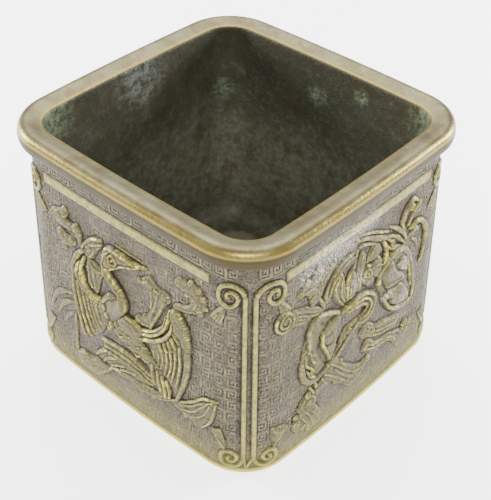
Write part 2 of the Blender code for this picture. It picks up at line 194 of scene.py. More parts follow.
class Carving:
    """A wall's relief as heights over its sheet, drawn form by form in millimetres.

    Each form cuts down what is right beside it; moat says how strongly.
    """

    def __init__(self, columns, rows, seed):
        self.x, self.y = np.meshgrid(columns, rows)
        self.height = np.zeros_like(self.x)
        self.figure = np.zeros_like(self.x)
        self.band = np.zeros_like(self.x)
        self.line = np.zeros_like(self.x)
        self.seed = seed

    def noise(self, radius, layer):
        """Smooth noise over the sheet; each layer number has its own."""
        return cloudy(self.x.shape, radius, self.seed * 10 + layer)

    def settle(self):
        """Wears the carving unevenly, and swells the middle of each figure."""
        body = box_blur(box_blur(self.figure, 6), 6)
        swell = np.clip((body - 0.35) / 0.6, 0, 1)
        uneven = 0.74 + 0.12 * self.noise(8, 8) + 0.12 * self.noise(18, 9)
        soft = 0.6 * self.height + 0.4 * box_blur(self.height, 1)
        self.height = np.where(self.figure > 0, uneven * soft + 0.38 * swell, self.height)

    def wear(self):
        """Where hands have rubbed the relief, where shade is painted into the hollows, and the plain parts
        kept bright.
        """
        crest = self.height - box_blur(box_blur(self.height, 1), 1)
        near = self.height - box_blur(box_blur(self.height, 3), 3)
        far = self.height - box_blur(box_blur(self.height, 8), 8)
        figure = box_blur(self.figure, 1)
        raised = np.clip(self.height / 0.5, 0, 1) * (1 - 0.6 * self.band)
        # hollow_shade is painted shade: the colour is darkened where the relief dips, round its forms and
        # between them.
        return {"rub": np.clip(7.0 * (crest - 0.065) + 0.2 * (near - 0.2), 0, 1) * raised,
                "hollow_shade": np.clip(-6.5 * (crest + 0.025) - 0.9 * near - 0.3 * far, 0, 1),
                "polish": self.band, "figure": figure, "fret": self.line * (1 - figure)}

    def window(self, low, high, margin):
        """The rows and columns of cells round a form."""
        columns = self.x[0]
        rows = self.y[:, 0]
        left, right = np.searchsorted(columns, (low[0] - margin, high[0] + margin))
        bottom, top = np.searchsorted(rows, (low[1] - margin, high[1] + margin))
        return slice(bottom, top), slice(left, right)

    def lay(self, area, gap, raised, moat):
        """Lays a form over what is there; gap is the way out from its edge, below 0 inside it."""
        under = self.height[area]
        near = np.clip(1 - gap / 0.75, 0, 1) * (gap > 0)
        cut = under - moat * near * (0.10 + 0.50 * np.clip(under, 0, None))
        self.height[area] = np.where(gap < 0, np.maximum(raised, under * 0.72), cut)
        self.figure[area] = np.where(gap < 0, 1.0, self.figure[area])

    def ridge(self, points, widths, height, texture=None, count=20, roundness=0.5, moat=0.6):
        """A raised line through a few points, round across, as wide and high as told along it."""
        path = points if isinstance(points, np.ndarray) else spline(points, count)
        half = np.interp(np.linspace(0, 1, len(path)), np.linspace(0, 1, len(widths)), widths) / 2
        area = self.window(path.min(0), path.max(0), half.max() + 1.0)
        x, y = self.x[area], self.y[area]
        best = np.full(x.shape, 99.0)
        along = np.zeros(x.shape)
        across = np.zeros(x.shape)
        width = np.ones(x.shape)
        steps = np.linalg.norm(np.diff(path, axis=0), axis=1)
        length = np.concatenate([[0], np.cumsum(steps)])
        for index, share, gap, side in segment_gaps(x, y, path):
            here = half[index] + (half[index + 1] - half[index]) * share
            closer = gap - here < best
            best = np.where(closer, gap - here, best)
            width = np.where(closer, here, width)
            along = np.where(closer, length[index] + share * steps[index], along)
            across = np.where(closer, gap * side, across)
        reach = 1 + best / np.maximum(width, 0.05)
        taper = np.clip(width / (0.6 * half.max()), 0.35, 1)
        rise = np.interp(along / length[-1], np.linspace(0, 1, np.size(height)), np.ravel(height))
        raised = rise * taper * np.clip(1 - reach ** 2, 0, 1) ** roundness
        if texture == "barbs":
            raised -= LINE_DEPTH * wave(along / 0.9 + np.abs(across) * 0.9) * (reach < 0.92)
            raised += LINE_DEPTH * np.clip(1 - np.abs(across) / 0.25, 0, 1)
        elif texture == "lines":
            raised -= LINE_DEPTH * 1.3 * wave(across / 0.8 + 0.5)
        elif texture == "frill":
            raised -= LINE_DEPTH * wave(along / 1.5 + 0.35 * across)
        self.lay(area, best, raised, moat)

    def ridges(self, lines, widths, height, texture=None, **more):
        """Raised lines of one kind."""
        for line in lines:
            self.ridge(line, widths, height, texture, **more)

    def groove(self, points, width, depth, count=20):
        """An engraved line."""
        path = spline(points, count)
        area = self.window(path.min(0), path.max(0), width)
        x, y = self.x[area], self.y[area]
        best = np.full(x.shape, 99.0)
        for _, _, gap, _ in segment_gaps(x, y, path):
            best = np.minimum(best, gap)
        self.height[area] -= depth * np.clip(1 - (2 * best / width) ** 2, 0, 1)

    def grooves(self, lines, width, depth, count=20):
        """Engraved lines of one kind."""
        for line in lines:
            self.groove(line, width, depth, count)

    def pad(self, outline, height, bevel=1.0, texture="lines", moat=1.0, depth=0.14, slope=(0, 0)):
        """A flat form with a rounded edge, bounded by a smooth closed curve through a few points."""
        path = ring_spline(outline, 5)
        path = np.concatenate([path, path[:1]])
        area = self.window(path.min(0), path.max(0), 1.0)
        x, y = self.x[area], self.y[area]
        best = np.full(x.shape, 99.0)
        inside = np.zeros(x.shape, bool)
        for index, _, gap, _ in segment_gaps(x, y, path):
            best = np.minimum(best, gap)
            (ax, ay), (bx, by) = path[index], path[index + 1]
            if ay != by:
                inside ^= ((ay > y) != (by > y)) & (x < (bx - ax) * (y - ay) / (by - ay) + ax)
        gap = np.where(inside, -best, best)
        share = np.clip(-gap / bevel, 0, 1)
        raised = height * np.sqrt(1 - (1 - share) ** 2)
        middle = path.mean(0)
        raised += ((x - middle[0]) * slope[0] + (y - middle[1]) * slope[1]) * share
        if texture == "scales":
            row = np.floor(y / 0.95)
            across = (x / 1.1 + np.where(row % 2 == 0, 0.0, 0.5)) % 1.0 - 0.5
            from_tip = np.hypot(across * 1.1, (1 - (y / 0.95) % 1.0) * 0.95)
            raised -= depth * np.clip((from_tip - 0.40) / 0.25, 0, 1)
        elif texture == "lines":
            raised -= depth * wave(-gap / 1.15 + 0.35 * self.noise(6, 11)[area])
        self.lay(area, gap, raised, moat)

    def curl(self, centre, radius, start, turns, height):
        """A cloud's lobe: a low dome with a raised line that winds into it."""
        angles = np.linspace(0, 2 * math.pi, 9)[:-1]
        self.pad([(centre[0] + radius * math.cos(a), centre[1] + radius * math.sin(a)) for a in angles],
                 height * 0.72, radius * 0.8, "plain", moat=0.7)
        line = spiral(centre, radius * 0.84, start, turns, 0.1, 20)
        self.ridge(line, (radius * 0.36, radius * 0.30, radius * 0.22), height, moat=0.3)

    def curls(self, lobes, start, height):
        """Curls of one height; each has a place, a radius and turns, below 0 the other way round."""
        for centre, radius, turns in lobes:
            self.curl(centre, radius, start, turns, height)

    def feathers(self, lines, widths, height, texture=None, moat=0.9):
        """Overlapping feathers, the outer ones last; widths are at the root, the middle and the tip."""
        for index in range(len(lines) - 1, -1, -1):
            share = 1 - 0.08 * index
            self.ridge(lines[index], [width * share for width in widths[min(index, len(widths) - 1)]],
                       height * (1 - 0.06 * index), texture, moat=moat)

    def fret(self, low, high, depth):
        """Raised key pattern, worn in places: square spirals, mirrored from unit to unit."""
        x = self.x + 0.20 * self.noise(5, 1) + 0.10 * self.noise(2, 13)
        y = self.y + 0.20 * self.noise(5, 2) + 0.10 * self.noise(2, 14)
        inside = (np.abs(self.x) <= FRET * FRET_UNITS) & (self.y >= low) & (self.y <= high)
        column = x / FRET
        row = (high - y) / FRET
        flip = np.where((np.floor(column) + np.floor(row)) % 2 == 0, 1.0, -1.0)
        a = ((column % 1.0) - 0.5) * 4 * flip + 0.125
        b = ((row % 1.0) - 0.5) * 4 + 0.125
        ring = np.where(b >= 0, np.maximum(abs(a), abs(b)), np.maximum(abs(a - 0.5), abs(b)) - 0.5)
        off = np.abs(ring - np.round(ring))
        line = np.clip((0.22 - off) / 0.2 + 0.5, 0, 1)
        edge = np.clip((np.abs(self.x) - 22) / 8, 0, 1) + np.clip((self.y - 74) / 3, 0, 1)
        worn = np.clip(0.26 + 0.34 * edge + 0.35 * self.noise(9, 3) + 0.45 * self.noise(2, 10), 0.03, 1)
        self.height = np.where(inside, self.height + depth * line * worn, self.height)
        self.line = np.where(inside, line * worn, self.line)

    def roughen(self):
        """The unevenness of a worn cast surface."""
        creases = np.clip(1 - np.abs(self.noise(3, 12)) / 0.24, 0, 1)
        self.height += self.figure * (0.04 * self.noise(1, 4) + 0.08 * self.noise(2, 5) - 0.17 * creases)
        ground = (1 - self.figure) * (1 - self.band)
        self.height += ground * (0.04 * self.noise(1, 6) + 0.05 * self.noise(4, 7) - 0.05 * creases)


# A corner strip's scroll: turns, and its reach in radii after the first, which meets the strip
SCROLL_TURNS = (0, 0.25, 0.5, 0.75, 1.0, 1.25, 1.6)
SCROLL_REACH = (1.15, 1.0, 0.95, 0.74, 0.45, 0.12)
# The fans by the top and bottom scrolls: way to go, and the near and far corner across and along
FANS = ((1, (1.4, 6.6), (5.6, 4.7)), (-1, (1.8, 7.8), (5.4, 6.6)))
# The corner strips, by wall and side: place of the strip, then place, level and radius of its scrolls
STRIPS = {
    (0, 1): (48.0, ((42.9, 71.5, 3.7), (43.6, 6.7, 3.0))),
    (1, -1): (46.6, ((39.8, 71.2, 3.5), (41.6, 6.5, 2.7))),
}
PLAIN_STRIP = (47.35, ((42.0, 71.4, 3.6), (42.8, 6.7, 2.9)))
STRIP_HEIGHT, STRIP_ROUNDNESS = 0.8, 0.42


def corner_strip(c, side, column, hubs):
    """A raised strip up a corner that winds into a scroll at each end, with a small fan by each scroll."""
    for (across, hub_y, radius), (way, near, far) in zip(hubs, FANS):
        root = (across * side - 1.0 * side, hub_y - way * radius * 1.05)
        left = (root[0] - far[0] * side, root[1] - way * far[1])
        right = (root[0] - near[0] * side, root[1] - way * near[1])
        middle = ((left[0] + right[0]) / 2 - 0.5 * side, (left[1] + right[1]) / 2 - 0.5 * way)
        c.pad([(root[0] - 1.2 * side, root[1] + way * 0.6), left, middle, right, root], 0.55, 0.6, "plain")
        for share in (0.25, 0.5, 0.75):
            tip = (mix(left[0], right[0], share), mix(left[1], right[1], share))
            c.groove([root, tip], 0.5, 0.2, 2)
        turns = np.linspace(0, SCROLL_TURNS[-1], 45)
        reach = np.interp(turns, SCROLL_TURNS, ((column - across) / radius, *SCROLL_REACH)) * radius
        angle = 2 * math.pi * turns * way
        line = np.stack([across * side + side * reach * np.cos(angle), hub_y + reach * np.sin(angle)], 1)
        c.ridge(line, (1.6, 1.5, 1.3, 1.1), STRIP_HEIGHT, roundness=STRIP_ROUNDNESS)
    top, bottom = (hub[1] for hub in hubs)
    c.ridge([(column * side, bottom), (column * side, top)], (1.6, 1.6), STRIP_HEIGHT, count=2,
            roundness=STRIP_ROUNDNESS)
    c.ridge([(SHEET_HALF * side, 3.0), (column * side, bottom + 0.8)], (1.4, 0.8), 0.6, count=3)


def frame_relief(c, wall):
    """The plain band along the top and the two corner strips, which stay bright and are no figures."""
    inside = np.minimum(c.x + BAND_HALF, BAND_HALF - c.x)
    edge = np.minimum(np.minimum(c.y - BAND_LOW, BAND_HIGH - c.y), inside)
    c.band = np.clip(edge / BAND_BEVEL, 0, 1)
    c.height = np.where(edge > -0.3, c.band * BAND_HEIGHT, c.height)
    for side in (-1, 1):
        corner_strip(c, side, *STRIPS.get((wall, side), PLAIN_STRIP))
    c.band = np.maximum(c.band, np.clip((c.height - 0.4) / 0.2, 0, 1))
    c.figure[:] = 0


def upper_right_cloud(c):
    """Upper right cloud."""
    c.pad([(22.8, 68.6), (24.6, 70.2), (27, 69.8), (29.4, 70.6), (31.8, 69.6), (33.8, 67.8), (34.8, 65.4),
           (34.6, 63), (33, 60.6), (30.4, 59), (26.8, 57.4), (22, 56.8), (22.4, 59), (26.4, 60.4),
           (28.6, 62), (28.6, 64), (27.2, 65.4), (25, 65.2), (23.4, 66.2)], 0.95, 1)
    c.curls((((23.9, 67.2), 1.6, 1.3), ((26.4, 68.9), 1.1, -1.3), ((28.9, 69.7), 1.3, 1.3),
             ((31.8, 68.8), 1.2, -1.3), ((33.7, 66.4), 1.3, 1.3), ((34.3, 63.4), 1.1, -1.3),
             ((32.6, 60.7), 1.3, 1.3)), 60, 1.05)
    c.ridge([(26.6, 64.4), (29.8, 65.6), (31.4, 63.6), (30.2, 61.2)], (0.9, 1.2, 0.7), 1.2, moat=0.3)
    c.ridge([(22.4, 57.8), (27, 58.6), (30.8, 60.2)], (0.7, 0.9, 0.6), 1.15, moat=0.2)


def upper_left_cloud(c):
    """Upper left cloud."""
    c.pad([(-33.5, 63.5), (-32, 66.2), (-28.8, 67.2), (-26.2, 69.4), (-24.6, 67.4), (-25, 65),
           (-22.4, 64.6), (-20.4, 65.4), (-18.6, 63), (-18.2, 59.6), (-17.4, 57), (-19.4, 56.8),
           (-20.8, 60), (-23, 61.2), (-26.5, 60.8), (-30.5, 61.6)], 1.1, 1)
    c.pad([(-31.2, 58), (-28.8, 59.8), (-25.8, 58.6), (-22.8, 59), (-21.2, 57), (-23.4, 55), (-26, 54.2),
           (-26, 52), (-28.2, 51.2), (-29.4, 53.2), (-28.6, 55.2), (-31, 56)], 0.85, 0.9)
    c.curls((((-29.8, 64.6), 1.8, 1.3), ((-26.4, 66.4), 1.6, -1.2), ((-21.2, 63), 1.7, 1.3),
             ((-28.6, 57.2), 1.7, -1.3), ((-23.8, 57), 1.3, 1.2), ((-27.6, 52.8), 1.1, 1)), 0, 1.3)


def left_plumes(c):
    """Plumes on the left."""
    c.feathers([[(-37.5, 23.4), (-34.4, 29.2), (-30.4, 32.6), (-25.6, 34.4)],
                [(-34, 21.6), (-31.4, 26.2), (-28.4, 29.2), (-25, 30.8)],
                [(-30.6, 19.6), (-28.4, 23.4), (-25.6, 26)]], ((1, 2.6, 1.2),), 0.9, "barbs")
    c.ridge([(-24.4, 26.5), (-24.8, 18), (-24.8, 11.4), (-23.6, 9.4)], (0.8, 1.7, 1.3, 0.9), 0.9)


def lower_branch(c):
    """Branch and cloud below."""
    c.pad([(-25, 9.6), (-22, 12.4), (-17.6, 12.2), (-14, 13.6), (-9, 13), (-4, 15.4), (2, 16.6), (8, 16.8),
           (14, 17.4), (19.4, 19.6), (20.6, 17.4), (16, 14.4), (9, 13.6), (3, 14.2), (-2.4, 13.2),
           (-6.6, 12.6), (-9, 10), (-11, 8), (-12.8, 6), (-15, 4.6), (-19, 4.4), (-23.4, 4.8), (-25, 6.8)],
          0.75, 1.1)
    c.ridges(([(-24.6, 9.2), (-21, 11.6), (-17, 11), (-14.6, 12.4)],
              [(-23, 5.8), (-19.8, 8.6), (-17.2, 9.8)], [(-19.6, 5.4), (-17, 7.4), (-14.6, 8.8)],
              [(-15, 5.4), (-13, 7.8), (-10, 10.4), (-6.8, 13.6)],
              [(-7, 14), (-2, 15), (4, 15.8), (9, 15), (14, 15.6), (19.4, 18.4)],
              [(-3, 13.8), (3, 14.6), (10, 14), (16, 15.4)]), (0.9, 1.4, 0.9), 1.1, moat=0.4)


def right_leaf(c):
    """Leaf on the right."""
    c.pad([(20.4, 18.2), (24.6, 20.6), (28.4, 21.6), (31.4, 25), (35, 28.4), (39.8, 29.6), (38.2, 26.6),
           (37.8, 22.4), (36.6, 18), (34, 14.8), (31.4, 13.4), (29.6, 14), (27.6, 14.2), (25, 15.4),
           (22, 16)], 0.7, 1.2)
    for line, width in (([(20.8, 18.2), (26, 20.6), (30, 23.6), (34, 27.4), (39.4, 29)], 1.2),
                        ([(23.6, 18.8), (28.8, 21), (33, 24.8), (37.6, 27.8)], 0.9),
                        ([(25, 17.2), (29.8, 19.4), (33, 23), (35.8, 26.6)], 1),
                        ([(28, 16.4), (32, 18.4), (35, 22), (36.6, 26.2)], 0.9),
                        ([(38.6, 27.4), (37.7, 22.4), (36.2, 18.2), (33.4, 14.8)], 1.2)):
        c.ridge(line, (0.6 * width, width, 0.6 * width), 1.15, moat=0.5)
    for place in ((26.6, 15.9), (30.8, 15.1)):
        c.curl(place, 1.4, 250, 1.2, 1.1)


def phoenix_crest(c):
    """Crest and scarf on the left of the neck."""
    c.pad([(-8.4, 65.6), (-12.6, 64.6), (-16.4, 61.6), (-19, 57.6), (-19.2, 55.4), (-17, 55.4), (-15.2, 55),
           (-13.2, 55.8), (-12, 58), (-10.4, 60.6), (-8.8, 62.6)], 0.9, 1.1)
    c.ridges(([(-9, 65), (-13, 63.6), (-16.4, 60.4), (-18.4, 56.8)],
              [(-9, 63.4), (-12.4, 61.6), (-14.4, 60.6)], [(-12.2, 60.4), (-13.2, 58), (-14.4, 55.8)]),
             (0.9, 1.4, 0.8), 1.25, moat=0.5)
    c.curl((-15, 58.6), 1.7, 0, 1.3, 1.25)
    c.pad([(-16.4, 54.8), (-13, 54.8), (-9.2, 53.6), (-8.4, 51.4), (-9.8, 49.4), (-11, 45.4), (-12.2, 42.4),
           (-14.2, 41.8), (-16, 43.8), (-16.6, 47), (-16.2, 51)], 0.75, 1.2)
    c.ridges(([(-15.6, 53.8), (-15.2, 48), (-13.8, 43.4)], [(-13.2, 53.4), (-12.6, 48), (-12.6, 44)],
              [(-15.4, 54), (-12, 52.4), (-9.2, 52.4)]), (0.9, 1.7, 0.8), 1.15, "frill", moat=0.4)


def phoenix_scarf(c):
    """Scarf on the right of the neck."""
    c.pad([(6.4, 58.8), (8.6, 60.8), (10.8, 62.4), (12.4, 63.8), (14.6, 61.8), (16.8, 61), (20, 60.6),
           (20.8, 58.2), (19.4, 56.4), (18.2, 54.2), (16.8, 51.2), (15.2, 49), (14, 45.8), (12, 42.4),
           (9.2, 42), (6.6, 41.6), (5, 43.4), (6.2, 45.4), (8.8, 45.4), (9.8, 47), (11.4, 49), (12.4, 52),
           (11.8, 55), (10.8, 57.4), (8.8, 58)], 0.75, 1)
    for line, width in (([(15.8, 59.4), (15, 55), (13.4, 50.4), (11.8, 47), (10.8, 44.6)], 1.3),
                        ([(18.4, 57), (16.8, 53), (15.2, 49.8), (13.8, 46.8), (12, 43)], 1.3),
                        ([(12.8, 58.4), (13, 54.8), (12.4, 51)], 1),
                        ([(11, 62.2), (14, 60), (16.6, 59.2), (20, 59.6)], 1),
                        ([(5.6, 43.2), (8.6, 43), (11.2, 43.4)], 1),
                        ([(6.8, 59), (9.4, 59.6), (11.6, 61.6)], 0.9)):
        c.ridge(line, (0.7 * width, width, 0.7 * width), 1.2, "frill", moat=0.5)
    for place, radius in (((12.3, 60), 1.6), ((18.4, 58.6), 1.4), ((10.2, 46), 1.4), ((6.9, 43.5), 1.3),
                          ((7.8, 59.4), 1)):
        c.curl(place, radius, 120, 1.2, 1.35)


def phoenix_tail(c):
    """Tail feathers on the left."""
    c.pad([(-11, 20), (-10.4, 25), (-4, 26), (4, 25.8), (12, 24), (12.6, 19), (6, 16.6), (-2, 16.4),
           (-8, 14.6), (-14.4, 14.6), (-14.6, 16.4)], 0.45, 1.6, "plain")
    c.feathers([[(12.6, 22.6), (5, 24.8), (-3, 25.2), (-10.6, 24.4)],
                [(12.6, 20.8), (5, 22.8), (-3, 23), (-9.4, 22.2)],
                [(12, 18.8), (5, 20.6), (-3, 20.8), (-11, 19.8)]], ((1.3, 1.9, 1.1),), 1.25)
    c.feathers([[(-8.6, 20.4), (-12.2, 17.8), (-14.6, 14.8)], [(-4.6, 19.4), (-8.6, 17.2), (-10.6, 14.6)],
                [(0, 18.8), (-4, 17), (-7, 15)], [(5, 18.6), (1, 17.4), (-2.6, 16)]], ((0.9, 1.7, 0.9),),
               1.1)


def phoenix_left_wing(c):
    """Left wing: primaries, then the inner coverts."""
    c.pad([(-24.6, 46), (-24.2, 36), (-22.4, 28), (-19.8, 20.6), (-15.4, 22.4), (-10.4, 27.6), (-8.6, 33),
           (-9, 39), (-14, 42.6), (-20, 47)], 0.3, 1, "plain")
    c.feathers([[(-24.1, 46), (-23.9, 38), (-22.8, 30.6), (-21, 25), (-19.7, 20.4)],
                [(-22, 42), (-20.9, 35.6), (-19.8, 30), (-18.2, 25.6), (-16.5, 21.8)],
                [(-19.6, 40.6), (-18.7, 35.4), (-17.2, 29.8), (-14.9, 25.2)],
                [(-17.7, 38.8), (-16.7, 34.6), (-15.3, 30.4), (-13.3, 26.6)],
                [(-15.6, 37.6), (-14.6, 33.8), (-13.1, 30.2), (-11.6, 27.4)],
                [(-13.4, 37), (-12.4, 33.6), (-10.9, 30.2)], [(-11.4, 36.4), (-10.6, 34), (-9.4, 31.4)]],
               ((1.6, 1.8, 1), (0.8, 1.25, 0.9), (0.7, 1.1, 0.7), (0.6, 0.95, 0.6)), 1.25)
    c.ridge([(-17.2, 57), (-20.2, 54.2), (-22.8, 50), (-24.1, 45)], (1.2, 2.6, 2.2), 1.35, "frill")
    c.ridge([(-20.4, 50.4), (-21.9, 46.4), (-20.6, 43.2), (-17.2, 40.6), (-13, 38.6), (-8.4, 37.4)],
            (1.2, 1.9, 1.9, 1.6), 1.45, moat=0.8)
    c.ridge([(-19.4, 48.8), (-20, 45.6), (-18.2, 42.6), (-14.6, 40.2), (-9.4, 38.8)], (0.7, 1.2, 1.2, 0.9),
            1.55, moat=0.5)
    c.ridge([(-17.3, 54.4), (-19.1, 50), (-18.7, 46.4), (-16.6, 43.2), (-12.6, 41.2), (-9, 40.6)],
            (0.8, 1.5, 1.5, 1.3), 1.7, moat=0.9)


def phoenix_right_wing(c):
    """Right wing."""
    c.pad([(28.6, 46), (28.4, 38), (27, 29), (23, 19.2), (20.8, 23), (17.4, 25.6), (13.6, 28.4), (12, 33),
           (11, 37), (17, 41.4), (22, 47)], 0.3, 1, "plain")
    c.feathers([[(27.2, 47), (27.6, 40), (27.1, 34), (25.7, 27.6), (22.9, 19.4)],
                [(24.4, 42.6), (24.6, 36), (23.9, 30), (22.9, 25.4)],
                [(22, 43), (22.7, 38.6), (22.5, 34), (20.9, 26.4)],
                [(20, 40.8), (20.8, 36.6), (20.6, 31.6), (19.3, 27.4)],
                [(18.2, 38.6), (18.9, 34.6), (18.6, 30.4), (17.4, 26.4)],
                [(16.6, 37.2), (17.1, 34), (16.8, 30.4), (15.8, 27.6)],
                [(14.8, 36), (15.3, 33.2), (14.9, 30), (14.2, 28)], [(12.8, 35), (13.3, 32.6), (13, 30)]],
               ((2.2, 2.5, 1.3), (1, 1.35, 1), (0.9, 1.2, 0.8), (0.8, 1.1, 0.7), (0.7, 1, 0.6)), 1.4)
    for start, end in (((22.2, 46.8), (24.2, 44.4)), ((21.2, 44.2), (22.9, 41.4)),
                       ((19.6, 42.2), (21.2, 39.4)), ((17.8, 40.4), (19.2, 37.8)),
                       ((15.8, 38.8), (17, 36.6))):
        c.ridge([start, end], (1.4, 1), 1.6, moat=0.9, count=3)
    c.pad([(20.4, 54.6), (22.4, 56.8), (25.4, 55.6), (27.8, 51.8), (28.9, 47), (28.4, 43), (26.4, 43.6),
           (24.8, 46.2), (22.4, 47.6), (21.2, 50.8)], 1.8, 1.5, "scales", depth=0.3)
    c.ridge([(22, 51), (20.8, 46.8), (18.4, 42.8), (14.6, 39.4), (9.6, 36.8), (4, 35.6)],
            (0.9, 1.7, 1.7, 1.2), 1.8)
    c.ridge([(20.6, 55), (19.9, 50.4), (18.1, 46.2), (15, 42.4), (11, 39.6), (5, 37.6)],
            (0.8, 1.5, 1.5, 1.2), 1.9)
    c.ridge([(19, 52), (17.6, 47.4), (14.6, 43.6), (11, 41), (7, 39.4)], (0.5, 0.9, 0.9, 0.7), 1.5,
            moat=0.4)


def phoenix_body(c):
    """Body and thigh."""
    c.pad([(-9.8, 42.5), (-6.8, 46), (-2, 45.6), (0.8, 42.8), (3.2, 41.4), (6.8, 40.4), (8.8, 37.6),
           (8.4, 34.6), (12.2, 31.8), (15.6, 28.8), (18, 25.6), (16.8, 22), (12.8, 22), (10.6, 26.4),
           (7.2, 28.2), (3.6, 27.8), (-0.8, 29.2), (-4.4, 30.8), (-8, 31.2), (-10.8, 34.2), (-11.4, 38.6)],
          1.55, 2.6, "scales", depth=0.26)
    for x, y in ((-8, 37), (-5.4, 34.4), (-3.2, 37.4), (-1, 33.6), (2.2, 35.4), (2.6, 31.4), (6.2, 33.4),
                 (6.4, 29.8), (10, 30), (-6.4, 40.4)):
        c.ridge([(x - 1.5, y - 0.8), (x - 0.2, y - 1.8), (x + 1.5, y - 0.9)], (0.5, 1.2, 0.5), 1.75,
                moat=0.5, count=8)
    c.ridge([(0.2, 41.4), (4.6, 41), (8.4, 39.4)], (0.9, 1.5, 0.8), 1.6)
    c.feathers([[(12.8, 28.4), (13, 24.4), (13.8, 20.4)], [(15, 27), (15.4, 23), (16.2, 18.8)],
                [(16.9, 25.8), (17.6, 21.6), (18.3, 17.6)], [(18.7, 25), (19.7, 21.4), (19.8, 18.2)]],
               ((1.5, 1.5, 0.8),), 1.9)


def phoenix_neck(c):
    """Neck."""
    c.ridge([(-7.7, 60), (-7.7, 56.6), (-6.2, 53.8), (-3.2, 51.2), (-0.6, 48.6), (0.2, 46), (-0.9, 43.6),
             (-4.4, 40.6), (-7.2, 36.4)], (2.6, 2.8, 3, 3.2, 3.6, 4.6, 6.4, 6),
            (2.4, 2.7, 3.1, 3.4, 3.2, 2.4, 1.7, 1), count=36, moat=1.3)
    for x, y, size in ((-7.4, 36.6, 1.5), (-5.4, 34, 1.5), (-8.6, 39.4, 1.2), (-3.2, 35.6, 1.1),
                       (-6.6, 31.8, 1)):
        c.pad([(x - size, y), (x, y + size), (x + size, y + 0.2), (x + 0.2, y - size)], 2, 1.1, "plain",
              moat=0.5)


def phoenix_head(c):
    """Head, beak and eye."""
    c.pad([(-8.6, 58.4), (-8.1, 61.8), (-6.8, 64.4), (-4.4, 65.6), (-1.4, 65.4), (3.4, 65.3), (7.6, 65.2),
           (11, 65.4), (8.4, 64), (5.6, 63), (3.6, 62), (1.4, 61), (-0.8, 59.2), (-2.6, 57.2), (-4.4, 56.4),
           (-6.8, 56.8)], 1.9, 1.3, "plain", moat=1.3)
    c.ridge([(-6.6, 63.6), (-3, 64.6), (2, 64.7), (6.6, 64.6), (10.9, 65.2)], (1.1, 1.4, 1.3, 0.5), 2.3,
            moat=0.5)
    c.ridge([(-4.2, 57.2), (-1.8, 59), (0.6, 60.9), (3.4, 62.1), (7.6, 63.6)], (1, 1.5, 1.3, 0.5), 2.25,
            moat=0.5)
    c.ridge([(-7.4, 58.6), (-6.6, 61.6), (-4.6, 63.6)], (0.7, 1.1, 0.7), 2.15, moat=0.4)
    c.ridge(spiral((-3, 61.2), 1.75, 0, 1, 0.98, 20), (0.8, 0.8), 2.35, moat=0.9)
    c.pad([(-2.3, 61.3), (-3, 62), (-3.7, 61.2), (-3, 60.5)], 2.35, 0.5, "plain", moat=0.6)
    c.ridge([(-4.6, 66.2), (-0.6, 66.7), (4, 66.6), (10.2, 66.2)], (0.5, 0.8, 0.4), 0.5, moat=0.2)
    c.ridge([(-2.6, 67.8), (1.6, 68), (6.2, 67.5)], (0.4, 0.7, 0.4), 0.35, moat=0.1)


def spiral_cloud(c):
    """Upper left: a spiral cloud with a long body."""
    c.pad([(-40.2, 59.4), (-39.4, 62), (-37, 63.2), (-34.2, 62), (-31, 60.8), (-27, 59.4), (-23, 57.2),
           (-19.4, 54.6), (-18, 53), (-20.4, 52.6), (-24.6, 53.2), (-27.4, 52.7), (-30.8, 53.6),
           (-33.6, 54.8), (-36, 54.6), (-38.8, 56.2)], 0.75, 0.9)
    c.ridges(([(-33.4, 60.6), (-28.6, 58.6), (-24.2, 56), (-20.4, 54)],
              [(-33, 58.8), (-29, 57), (-25, 54.8), (-21.6, 53.6)], [(-33.6, 56.2), (-30, 55), (-27, 53.6)],
              [(-31.6, 57.2), (-29.6, 56.2), (-27.8, 55)]), (0.7, 1, 0.6), 1.1, moat=0.4)
    c.ridge(spiral((-36, 59), 4, 150, 2.4, 0.08, 54), (1.2, 0.95, 0.75), 1.3, moat=0.5)


def ragged_plume(c):
    """Ragged plume."""
    c.pad([(-30.6, 66), (-28.4, 67.6), (-26.2, 68.4), (-24.6, 67.8), (-23.6, 69.4), (-22, 70.4),
           (-19.4, 69.4), (-17, 68.4), (-14, 69.4), (-13, 68.6), (-14.6, 66.4), (-17, 64.4), (-19, 62.2),
           (-20.4, 59.4), (-22, 58), (-24.8, 58.2), (-25.6, 61), (-27.2, 63.6), (-29.6, 63.2), (-31, 64.4)],
          0.9, 1)
    c.ridges(([(-23.6, 68.4), (-22, 69.4), (-20, 68.8), (-17.4, 67.6), (-13.8, 68.8)],
              [(-30.4, 65.4), (-28, 66.8), (-25.2, 67.4), (-22.6, 66.4)],
              [(-29.4, 64), (-26.4, 65.2), (-23.4, 64.2), (-21.6, 61.6)],
              [(-21.2, 66.6), (-20.4, 64.4), (-20.6, 61.4)], [(-18.4, 66.4), (-19.2, 64.6), (-20, 62)]),
             (0.8, 1.2, 0.7), 1.25, "frill", moat=0.5)
    c.curls((((-24, 60.4), 1.6, 1.3), ((-29.8, 65.6), 1.5, -1.3), ((-26.6, 67.8), 1.4, 1.2),
             ((-22.4, 69.6), 1.4, -1.3), ((-18.2, 67.8), 1.2, 1.2)), 0, 1.25)
    c.ridge([(-20.8, 58.6), (-19.2, 56), (-18.4, 53.8)], (1, 1.6, 1), 1.1)


